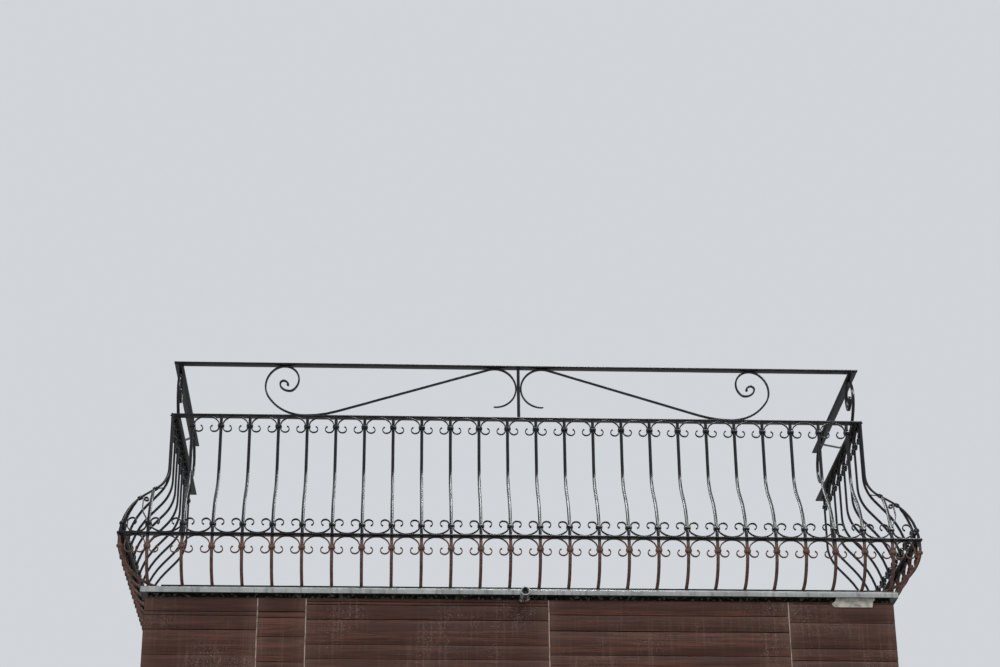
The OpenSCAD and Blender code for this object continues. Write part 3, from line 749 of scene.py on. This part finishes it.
def place_strip(mesh, panel, path, along, out, up, lean, flip, grow):
    """Lays a flat path in a plane of the panel that leans inwards as it rises."""
    rising = panel.rising(lean)
    origin = panel.at(along, out, up)
    points = [origin + panel.along * p.x + rising * p.y * flip for p in path]
    sweep(mesh, points, panel.along.cross(rising), STRIP_SECTION, grow)


def bays(places):
    """Middle and clear width of the bays between neighbouring bars."""
    spots = sorted(places)
    return [((a + b) / 2, b - a - BAR_W) for a, b in zip(spots, spots[1:])]


def scroll_row(mesh, panel, spots, row, bare_side=0):
    """Scrolls in some bays of a row. A bare side, -1 or 1, is where they end without a curl."""
    drop, out, up, lean, flip = row
    for middle, clear in spots:
        path = small_scroll(clear, drop, bare_side == 0)
        path = mirrored(path) if bare_side > 0 else path
        place_strip(mesh, panel, path, middle, out, up, lean, flip, one_end if bare_side else tip)


corner_collar_x = (BAR_W / 2 + FIT_GAP + COLLAR_WALL) * math.sqrt(2) + STRIP_W / 2
knot_swell = BULGE - SIDE_SPUR_GAP
link_foot, link_head = BULGE - FRONT_SPUR_GAP - BAR_W / 2, 0.024


def corner_bay(side, height):
    """Middle and clear width of the bay between a front spur bar and the collar on its corner bar."""
    start, end = front_spur + BAR_W / 2, line_x + swell_at(height) - corner_collar_x
    return [(side * (start + end) / 2, end - start)]


def corner_stroke(mesh, side):
    """A stroke from the spur bar's collar up to the corner bar, which turns back and ends in an eye."""
    radius, turn = 0.080, radians(26)
    foot = middle_z + COLLAR_H / 2
    across = line_x + knot_swell - corner_collar_x - front_spur - BAR_W / 2 - STRIP_T
    inwards, upwards = swell_at(foot) - knot_swell, height_at(knot_swell) - foot
    slant = (across - 2 * radius * (1 - math.cos(turn))) / math.sin(turn)
    rest = math.hypot(inwards, upwards) - 2 * radius * math.sin(turn) - slant * math.cos(turn)
    path = trail([(radius, -turn), (slant, 0), (radius, turn), (rest, 0), (EYE_R, radians(180)),
                  (EYE_R * 0.7, radians(200))], (0.0, 0.0), radians(90), PATH_STEP)
    path = spaced(path if side > 0 else mirrored(path), LONGEST)
    place_strip(mesh, FRONT, path, side * (front_spur + BAR_W / 2 + STRIP_T / 2), swell_at(foot), foot,
                math.atan2(inwards, upwards), 1, one_end)


def link(mesh, panel):
    """A straight strip from the corner bar up to the neck of the last side bar."""
    start = panel.at(-line_y - link_foot, link_foot, height_at(link_foot))
    end = panel.at(side_places[-1] - BAR_W / 2, link_head, height_at(link_head))
    start = start.lerp(end, BAR_W * 0.7 / (end - start).length)
    sweep(mesh, spaced([start, end], 0.01), UP.cross(end - start).normalized(), STRIP_SECTION)


for word, panel, places, spurs in SIDES:
    mesh = bmesh.new()
    for row in (MIDDLE_ROW, LOWER_ROW):
        scroll_row(mesh, panel, bays(places + spurs), row)
    if panel is FRONT:
        for side, *_ in HANDS:
            scroll_row(mesh, panel, corner_bay(side, middle_z), MIDDLE_ROW, -side)
            scroll_row(mesh, panel, corner_bay(side, lower_z), LOWER_ROW)
            corner_stroke(mesh, side)
    else:
        link(mesh, panel)
    piece(f"belly_scrolls_{word}", mesh, RUST, STRIP_MARKS)
    mesh = bmesh.new()
    scroll_row(mesh, panel, bays(places), UPPER_ROW)
    piece(f"upper_scrolls_{word}", mesh, BLACK, STRIP_MARKS)


# Collars

BAND_BEND, BAND_EDGE, half_h = 0.0016, COLLAR_WALL * 0.30, COLLAR_H / 2
# Section of a collar's band, flat inside and rounded outside
BAND_SECTION = [(0.0, -half_h), (0.0, 0.0), (0.0, half_h), (BAND_EDGE, half_h),
                *((COLLAR_WALL * (0.55 + 0.45 * math.cos(radians(a))), half_h * math.sin(radians(a)))
                  for a in range(60, -61, -30)), (BAND_EDGE, -half_h)]


def collar(mesh, panel, along, out, up, lean, side_room):
    """A band bent round a bar and the strips beside it."""
    rising = panel.rising(lean)
    facing = panel.outward * math.cos(lean) + UP * math.sin(lean)
    wide = BAR_W + 2 * side_room
    deep = max(BAR_T, STRIP_W) + 2 * FIT_GAP
    centre = panel.at(along, out, up)
    rings = []
    for quarter, (x, y) in enumerate(QUARTERS):
        corner = centre + panel.along * (x * (wide / 2 - BAND_BEND)) + facing * (y * (deep / 2 - BAND_BEND))
        for k in range(4):
            angle = radians(90) * (quarter + k / 3)
            normal = panel.along * math.cos(angle) + facing * math.sin(angle)
            base = corner + normal * BAND_BEND
            rings.append([base + normal * a + rising * b for a, b in BAND_SECTION])
    skin(mesh, rings, closed=True)


for word, panel, places, spurs in SIDES:
    mesh = bmesh.new()
    for along in places:
        collar(mesh, panel, along, 0.0, bars_top - UPPER_DROP, 0.0, STRIP_T)
    for along in places + spurs:
        for height in (middle_z, lower_z):
            collar(mesh, panel, along, swell_at(height), height, lean_at(height), STRIP_T)
    if panel is FRONT:
        for side, *_ in HANDS:
            for height in (middle_z, lower_z, height_at(knot_swell - BAR_W / 2), height_at(link_foot)):
                lean = math.atan(math.sqrt(2) * math.tan(lean_at(height)))
                collar(mesh, CORNERS[side], 0.0, swell_at(height) * math.sqrt(2), height, lean, FIT_GAP)
    piece(f"collars_{word}", mesh, SWELL, COLLAR_MARKS)


# Large scrolls and the post between them

BACK_RATIO, BACK_TURN, TAIL_LOW_R, SCROLL_GAP = 2.0, radians(56), 0.500, 0.006
# Bends of the coil after its back, each as radius over that of the crown and turn in degrees
COIL = [(1.0, 33), (1.088, 50), (0.76, 41), (0.65, 90), (0.68, 50), (0.27, 40), (0.50, 45), (0.29, 45),
        (0.16, 90), (0.20, 70), (0.13, 60)]
LARGE_EDGE = 0.0018
LARGE_SECTION = rounded(LARGE_T, LARGE_W, LARGE_EDGE)
band_h = hand_high.z - mid_high.z - flat_t - LARGE_T
crown_r = band_h / (BACK_RATIO * (1 - math.cos(BACK_TURN)) + 1 + math.cos(BACK_TURN))
back_r = BACK_RATIO * crown_r
back_reach = back_r * math.sin(BACK_TURN) + crown_r * (1 - math.sin(BACK_TURN))
scroll_line = FLAT_W / 2 - RAIL_INSET
front_run = FRONT_REACH - LARGE_T / 2 - back_reach - LARGE_W / 2 - LARGE_T / 2 - HOOK_R
side_run = -mid_low.y - FLAT_W - SCROLL_GAP - back_reach - LARGE_T - HOOK_R - SCROLL_GAP


def drawn_out(distance, total):
    """Thickness and width of a large scroll, whose hook is drawn out thin and whose coil ends in a knob."""
    left = total - distance
    close = closing(min(distance, left), 0.004)
    thick = rise(distance, 0.16, 0.62) * knob(left, 0.006, 0.006, 0.5)
    return thick * close, rise(distance, 0.12, 0.80) * close


def large_scroll(mesh, panel, along, run, direction):
    """An S-scroll from its hook over its resting point to its curl; direction is where the curl lies."""
    curl = trail([(back_r, BACK_TURN)] + [(crown_r * ratio, radians(turn)) for ratio, turn in COIL])
    both = TAIL_LOW_R + HOOK_R
    angle = math.atan2(band_h - both, run) + math.asin(both / math.hypot(run, band_h - both))
    length = math.sqrt(run ** 2 + (band_h - both) ** 2 - both ** 2)
    tail = trail([(TAIL_LOW_R, angle), (length, 0), (HOOK_R, -angle), (HOOK_R, radians(-90)),
                  (HOOK_R * 0.95, radians(-90)), (HOOK_R * 0.6, radians(-12))])
    path = spaced(mirrored(tail)[::-1] + curl[1:], 0.02)
    rest = mid_high.z - deck_z + LARGE_T / 2
    points = [panel.at(along + direction * p.x, -scroll_line, rest + p.y) for p in path]
    sweep(mesh, points, panel.outward, LARGE_SECTION, drawn_out)


for side, word, side_plane in HANDS:
    front_along = side * (LARGE_W / 2 + LARGE_T / 2 + HOOK_R + front_run)
    side_along = -(SCROLL_GAP + LARGE_T / 2 + HOOK_R + side_run)
    for name, panel, along, run, direction in (("front", FRONT, front_along, front_run, side),
                                               ("side", side_plane, side_along, side_run, -1)):
        mesh = bmesh.new()
        large_scroll(mesh, panel, along, run, direction)
        piece(f"large_scroll_{name}_{word}", mesh, BLACK, IRON_MARKS)

mesh = bmesh.new()
foot, head = [Vector(((post_low.x + post_high.x) / 2, (post_low.y + post_high.y) / 2, z))
              for z in (post_low.z, post_high.z)]
sweep(mesh, spaced([foot, head]), ALONG, rounded(LARGE_W, LARGE_W, LARGE_EDGE))
weld(mesh, foot, UP, *POST_WELD)
weld(mesh, head, -UP, *POST_WELD)
piece("centre_post", mesh, BLACK, IRON_MARKS)


# Deck edging

EDGE_R, LIP_T, LIP_DROP = 0.002, 0.0022, 0.005
FRONT_STEPS, SIDE_STEPS = 130, 44


def edging():
    """Rolled edging round the deck, mitred at the corners, with a thin lip that hangs below it."""
    roll, lip = (nose_high.z - nose_low.z) / 2, LIP_T / 2
    tip_z = nose_low.z - LIP_DROP
    deep = nose_high.y - nose_low.y
    half, depth = nose_high.x, -nose_low.y
    profile = [(deep, nose_high.z)]
    profile += [(roll - roll * math.sin(radians(a)), nose_high.z - roll + roll * math.cos(radians(a)))
                for a in range(0, 91, 10)]
    profile += [(lip - lip * math.cos(radians(a)), tip_z + lip - lip * math.sin(radians(a)))
                for a in range(0, 181, 30)]
    profile += [(LIP_T, nose_low.z - EDGE_R), (LIP_T + EDGE_R, nose_low.z), (deep, nose_low.z)]
    for side, word in RUNS:
        mesh = bmesh.new()
        rings = []
        count = FRONT_STEPS if side == 0 else SIDE_STEPS
        for k in range(count + 1):
            ring = []
            for inward, z in profile:
                x, y = half - inward, inward - depth
                start, end = ((-x, y), (x, y)) if side == 0 else ((side * x, y), (side * x, 0.0))
                ring.append((*Vector(start).lerp(Vector(end), k / count), z))
            rings.append(ring)
        skin(mesh, rings)
        piece(f"nosing_{word}", mesh, PALE, EDGING_DENTS)


edging()


# Boarding

APRON_T, BOARD_GAP, JOINT_GAP, BACKING = 0.022, 0.0022, 0.0048, 0.006
PLANK, PLANK_GAP, END_GAP = 0.104, 0.0012, 0.0008
# Joints between the front's panels, and the heights of each panel's grooves below the apron's top
PANEL_JOINTS = [-1.151, -0.941, 0.117, 1.172]
PANEL_GROOVES = [[0.065, 0.083, 0.147, 0.260], [0.065, 0.092, 0.178, 0.290],
                 [0.016, 0.030, 0.097, 0.210, 0.274], [0.070, 0.142, 0.251, 0.330],
                 [0.011, 0.097, 0.215, 0.269]]
SIDE_JOINTS, SIDE_GROOVES = [-0.52], [PANEL_GROOVES[1], PANEL_GROOVES[4]]
draw = random.Random(11)


def give_tone(mesh, before, tone):
    """Writes a tone for the material into the faces made since the mesh had as many as before."""
    layer = mesh.faces.layers.float.get("tone") or mesh.faces.layers.float.new("tone")
    mesh.faces.ensure_lookup_table()
    for face in mesh.faces[before:]:
        face[layer] = tone


def block(mesh, low, high, bevel, tone=0.5, longest=None):
    """A box with rounded edges, divided along its length."""
    axis = max(range(3), key=lambda i: high[i] - low[i])
    a, b = [i for i in range(3) if i != axis]
    middle = [(low[i] + high[i]) / 2 for i in range(3)]
    section = rounded(high[a] - low[a], high[b] - low[b], bevel)
    length = high[axis] - low[axis]
    count = max(1, math.ceil(length / longest)) if longest else 1
    edge = bevel / length
    stations = [0.0, edge] + [edge + (1 - 2 * edge) * k / count for k in range(1, count)] + [1 - edge, 1.0]
    rings = []
    for t in stations:
        shrink = bevel if t in (0.0, 1.0) else 0.0
        ring = []
        for s, c in section:
            place = [0.0, 0.0, 0.0]
            place[axis] = low[axis] + length * t
            place[a] = middle[a] + s - math.copysign(min(shrink, abs(s)), s)
            place[b] = middle[b] + c - math.copysign(min(shrink, abs(c)), c)
            ring.append(place)
        rings.append(ring)
    before = len(mesh.faces)
    skin(mesh, rings)
    give_tone(mesh, before, tone)


def apron_box(side, a, b, low, high, front, back):
    """Corners of a box from a to b along a face of the apron, set in from its front and from its back."""
    if side == 0:
        return (a, apron_low.y + front, low), (b, apron_low.y + APRON_T - back, high)
    near, far = sorted((side * (apron_high.x - front), side * (apron_high.x - APRON_T + back)))
    return (near, a, low), (far, b, high)


def boards_of(side, word, joints, start, end, grooves):
    """Boards of one face of the apron on their backing, in panels with grooves of their own, and joints."""
    mesh = bmesh.new()
    top, height = apron_high.z, apron_high.z - apron_low.z
    inner_low, inner_high = apron_low.z + 0.001, top - 0.001
    cuts = [start] + joints + [end]
    for near, far, panel_grooves in zip(cuts, cuts[1:], grooves):
        levels = [0.0] + [level for level in panel_grooves if level < height - 0.02] + [height]
        for upper, lower in zip(levels, levels[1:]):
            recess = draw.uniform(0.0, 0.0030)
            groove = draw.uniform(0.5, 1.5) * BOARD_GAP
            low, high = apron_box(side, near + JOINT_GAP / 2, far - JOINT_GAP / 2, top - lower + groove,
                                  top - upper, recess, BACKING)
            block(mesh, low, high, 0.0014, draw.random(), 0.05)
    low, high = apron_box(side, start, end, inner_low, inner_high, APRON_T - BACKING, 0.0)
    block(mesh, low, high, 0.0005, 0.0)
    piece(f"apron_{word}", mesh, BOARD, BOARD_WEAR, smooth=35)
    mesh = bmesh.new()
    for place in joints:
        low, high = apron_box(side, place - JOINT_GAP / 2, place + JOINT_GAP / 2, inner_low, inner_high,
                              0.0012, BACKING)
        block(mesh, low, high, 0.0008, 0.5, 0.004)
    piece(f"apron_{word}_joints", mesh, FILLER, FILLER_WEAR)


boards_of(0, "front", PANEL_JOINTS, apron_low.x, apron_high.x, PANEL_GROOVES)
for side, word, _ in HANDS:
    boards_of(side, word, SIDE_JOINTS, apron_low.y + APRON_T, 0.0, SIDE_GROOVES)

mesh = bmesh.new()
count = round((soffit_high.y - soffit_low.y) / PLANK)
plank = (soffit_high.y - soffit_low.y) / count
for k in range(count):
    near = soffit_low.y + k * plank
    cut_x = soffit_low.x + (soffit_high.x - soffit_low.x) * draw.uniform(0.3, 0.7)
    for a, b in ((soffit_low.x, cut_x), (cut_x, soffit_high.x)):
        low = (a + END_GAP, near + PLANK_GAP, soffit_low.z)
        high = (b - END_GAP, near + plank - PLANK_GAP, soffit_high.z)
        block(mesh, low, high, 0.003, draw.random(), 0.06)
piece("soffit", mesh, BOARD, BOARD_WEAR, smooth=35)


# Mortar and the torn strip under the edging

def bedding(name, start, end, outward):
    """Rough mortar in the gap under the edging, between two points of the slab's face."""
    mesh = bmesh.new()
    start, end, outward = Vector(start), Vector(end), Vector(outward)
    low_z, high_z = apron_high.z, nose_low.z
    count = math.ceil((end - start).length / 0.004)
    rings = []
    for k in range(count + 1):
        place = start.lerp(end, k / count)
        ring = [(place.x, place.y, low_z)]
        for j in range(6):
            spot = Vector((place.x, place.y, low_z + (high_z - low_z) * j / 5))
            depth = 0.0095 + 0.0060 * noise.noise(spot * 95.0) + 0.0030 * noise.noise(spot * 260.0)
            ring.append(spot + outward * depth)
        rings.append(ring + [(place.x, place.y, high_z)])
    skin(mesh, rings)
    piece(name, mesh, DIRTY_SHADED_MORTAR)


slab_x, slab_y = soffit_high.x, soffit_low.y
bedding("bedding_front", (-slab_x, slab_y, 0), (slab_x, slab_y, 0), (0, -1, 0))
for side, word, _ in HANDS:
    bedding(f"bedding_{word}", (side * slab_x, slab_y, 0), (side * slab_x, 0, 0), (side, 0, 0))

# Outline of the old flashing that hangs out under the edging, as depth below the deck, left and right end
TORN = [(0.0236, 1.386, 1.5578), (0.0320, 1.3845, 1.5578), (0.0384, 1.3828, 1.5555),
        (0.0440, 1.3784, 1.5483), (0.0500, 1.3715, 1.5478), (0.0550, 1.3652, 1.5474),
        (0.0605, 1.3690, 1.5462), (0.0643, 1.3722, 1.5457), (0.0690, 1.3776, 1.5444),
        (0.0702, 1.3800, 1.5430)]
TORN_COLUMNS, TORN_T = 36, 0.0012


def torn_strip():
    """A thin rippled sheet, from rings that run along its front and back along its rear."""
    mesh = bmesh.new()
    rings = []
    for drop, left, right in TORN:
        ring = []
        for back, columns in ((0.0, range(TORN_COLUMNS + 1)), (TORN_T, range(TORN_COLUMNS, -1, -1))):
            for k in columns:
                spot = Vector((left + (right - left) * k / TORN_COLUMNS, 0.0, drop))
                ripple = 0.0009 * (noise.noise(spot * 60.0) + 1) + 0.0005 * (noise.noise(spot * 170.0) + 1)
                ring.append((spot.x, apron_low.y - TORN_T - ripple + back, deck_z - drop))
        rings.append(ring)
    skin(mesh, rings)
    piece("torn_strip", mesh, FLASHING)


torn_strip()


# Floor

TILE_SIZE, TILE_T, TILE_EDGE, TILE_UNEVEN = 0.200, 0.009, 0.0012, 0.0006
JOINT, JOINT_DEPTH = 0.003, 0.0022
GULLY_R, GULLY_BACK, GULLY_GAP, RAYS = 0.030, 0.110, 0.004, 32
SLAT_PITCH, SLAT_HALF, SLAT_EDGE = 0.010, 0.0022, 0.0008
spout_x, spout_z = (spout_low.x + spout_high.x) / 2, (spout_low.z + spout_high.z) / 2
gully = Vector((spout_x, finish_low.y + GULLY_BACK))


def plate_with_hole(mesh, low, high, centre, radius, tone=0.5):
    """A plate with a round hole, from points where rays out of the hole meet its sides."""
    before = len(mesh.faces)
    rings = [[], [], [], []]
    for k in range(RAYS):
        angle = math.tau * (k + 0.5) / RAYS
        ray = Vector((math.cos(angle), math.sin(angle)))
        side = min(((high[i] if ray[i] > 0 else low[i]) - centre[i]) / ray[i] for i in (0, 1))
        for ring, reach, z in zip(rings, (side, side, radius, radius), (low[2], high[2], high[2], low[2])):
            ring.append((centre[0] + ray.x * reach, centre[1] + ray.y * reach, z))
    skin(mesh, rings, closed=True)
    give_tone(mesh, before, tone)


def turned(mesh, profile, centre, right, up, axis, count):
    """A closed profile of radius and distance along an axis, turned round it."""
    rings = []
    for k in range(count):
        angle = math.tau * k / count
        ray = right * math.cos(angle) + up * math.sin(angle)
        rings.append([centre + ray * radius + axis * distance for radius, distance in profile])
    skin(mesh, rings, closed=True)


mesh = bmesh.new()
top_z = finish_high.z
columns = math.floor((finish_high.x - finish_low.x) / TILE_SIZE)
rows = math.floor((finish_high.y - finish_low.y) / TILE_SIZE) + 1
first_x = -columns / 2 * TILE_SIZE
edges_x = [finish_low.x, *(first_x + i * TILE_SIZE for i in range(columns + 1)), finish_high.x]
edges_y = [*(finish_low.y + j * TILE_SIZE for j in range(rows)), finish_high.y]
for west, east in zip(edges_x, edges_x[1:]):
    for near, far in zip(edges_y, edges_y[1:]):
        low = (west + JOINT / 2, near + JOINT / 2, top_z - TILE_T)
        high = (east - JOINT / 2, far - JOINT / 2, top_z - draw.uniform(0.0, TILE_UNEVEN))
        tone = draw.random()
        if low[0] < gully.x < high[0] and low[1] < gully.y < high[1]:
            plate_with_hole(mesh, low, high, gully, GULLY_R + GULLY_GAP, tone)
        else:
            block(mesh, low, high, TILE_EDGE, tone)
piece("floor_tiles", mesh, TILE)
mesh = bmesh.new()
plate_with_hole(mesh, finish_low, (finish_high.x, finish_high.y, top_z - JOINT_DEPTH), gully, GULLY_R)
piece("floor_finish", mesh, GROUT)

mesh = bmesh.new()
inner, outer, foot, head = GULLY_R - 0.004, GULLY_R + 0.006, -0.006, 0.0012
rim = [(inner, foot), (outer, foot), (outer, head - 0.001), (outer - 0.001, head), (inner, head)]
turned(mesh, rim, Vector((*gully, top_z)), ALONG, INWARDS, UP, 40)
for k in range(-2, 3):
    half = math.sqrt((GULLY_R - 0.003) ** 2 - (k * SLAT_PITCH) ** 2)
    middle_y = gully.y + k * SLAT_PITCH
    block(mesh, (gully.x - half, middle_y - SLAT_HALF, top_z - 0.005),
          (gully.x + half, middle_y + SLAT_HALF, top_z), SLAT_EDGE)
piece("gully_grate", mesh, RUST)


# Spout

SPOUT_WALL, LIP_R = 0.004, 0.00248
# Crumbs of mortar round the spout, each as distance to its right, height below the deck and radius
CRUMBS = ((-0.019, 0.0475, 0.0045), (-0.0125, 0.0515, 0.0050), (-0.006, 0.0500, 0.0035),
          (0.006, 0.0490, 0.0040), (0.0125, 0.0465, 0.0055), (0.0185, 0.0415, 0.0050),
          (0.0205, 0.0360, 0.0038))
spout_r = (spout_high.x - spout_low.x) / 2
back = spout_high.y - spout_low.y

mesh = bmesh.new()
rolled = [(spout_r - SPOUT_WALL / 2 + LIP_R * math.cos(radians(a)), LIP_R + LIP_R * math.sin(radians(a)))
          for a in range(150, 391, 24)]
pipe = [(spout_r - SPOUT_WALL, back), *rolled, (spout_r, back)]
turned(mesh, pipe, Vector((spout_x, spout_low.y, spout_z)), ALONG, UP, INWARDS, 48)
piece("drain_spout", mesh, PALE, IRON_MARKS)


def crumb(mesh, place, radius):
    before = len(mesh.verts)
    bmesh.ops.create_icosphere(mesh, subdivisions=3, radius=radius, matrix=Matrix.Translation(place))
    mesh.verts.ensure_lookup_table()
    for vert in mesh.verts[before:]:
        swell = 0.45 * noise.noise(vert.co * 110.0) + 0.25 * noise.noise(vert.co * 300.0)
        vert.co = place + (vert.co - place) * (1 + swell)


mesh = bmesh.new()
for right, below, radius in CRUMBS:
    crumb(mesh, Vector((spout_x + right, apron_low.y + 0.0015, deck_z - below)), radius)
piece("spout_mortar", mesh, MORTAR)

nodes["deck_slab"].data.materials.clear()
nodes["deck_slab"].data.materials.append(rough_concrete())


# Camera and light

def place_camera():
    """The photograph's camera, which looks up at the balcony from below."""
    data = bpy.data.cameras.new("camera")
    data.sensor_width = SENSOR_MM
    data.lens = FOCAL_PIXELS * SENSOR_MM / PHOTO_WIDTH
    camera = bpy.data.objects.new("camera", data)
    turns = ((-CAMERA_YAW, "Z"), (radians(90) + CAMERA_PITCH, "X"), (-CAMERA_ROLL, "Z"))
    camera.matrix_world = Matrix.Translation(CAMERA_PLACE)
    for angle, axis in turns:
        camera.matrix_world = camera.matrix_world @ Matrix.Rotation(angle, 4, axis)
    bpy.context.scene.collection.objects.link(camera)
    bpy.context.scene.camera = camera


def area_light(name, place, target, size, power, colour, diffuse=True, glossy=True):
    """A large soft lamp that points at target. It lights matt surfaces, shiny ones or both."""
    data = bpy.data.lights.new(name, "AREA")
    data.shape = "RECTANGLE"
    data.size, data.size_y = size
    data.energy = power
    data.color = colour
    lamp = bpy.data.objects.new(name, data)
    lamp.location = place
    lamp.rotation_euler = (Vector(target) - Vector(place)).to_track_quat("-Z", "Y").to_euler()
    lamp.visible_diffuse, lamp.visible_glossy = diffuse, glossy
    bpy.context.scene.collection.objects.link(lamp)


def studio():
    """A pale floor, a pale surround and soft light from above and in front."""
    bpy.context.scene.view_settings.view_transform = "Standard"
    world = bpy.data.worlds.new("surround")
    bpy.context.scene.world = world
    world.use_nodes = True
    tree = world.node_tree
    seen = add(tree, "ShaderNodeLightPath", {}, "Is Camera Ray")
    strength = add(tree, "ShaderNodeMapRange", {"Value": seen, "To Min": 0.40, "To Max": 1.0}, "Result")
    fill(tree, tree.nodes["Background"], {"Color": (0.64, 0.665, 0.70, 1.0), "Strength": strength})
    bpy.ops.mesh.primitive_plane_add(size=60, location=(0, 0, FLOOR_Z))
    floor = bpy.context.object
    floor.name = "floor"
    s = Shader("floor")
    s.colour = (0.8, 0.79, 0.77, 1.0)
    seen = s.node("ShaderNodeLightPath", {}, "Is Camera Ray")
    fill(s.tree, s.surface, {"Emission Color": (0.30, 0.30, 0.30, 1.0), "Emission Strength": seen})
    floor.data.materials.append(s.finish(0.9))
    middle = (0.0, -0.6, deck_z + 0.3)
    above, high = (0.7, -3.4, deck_z), deck_z + 7.5
    area_light("strip", (0.7, -3.4, high), above, (1.3, 9.6), 640, (0.93, 0.97, 1.0), diffuse=False)
    above = (0.7, -4.4, deck_z)
    area_light("overhead", (0.7, -4.4, high), above, (4.0, 6.0), 500, (0.96, 0.98, 1.0), glossy=False)
    area_light("key", (4.5, -7.0, 7.0), middle, (2.0, 2.0), 300, (1.0, 0.97, 0.92))
    area_light("fill", (-7.0, -7.0, 1.0), middle, (5.0, 5.0), 190, (0.95, 0.97, 1.0))


place_camera()
studio()
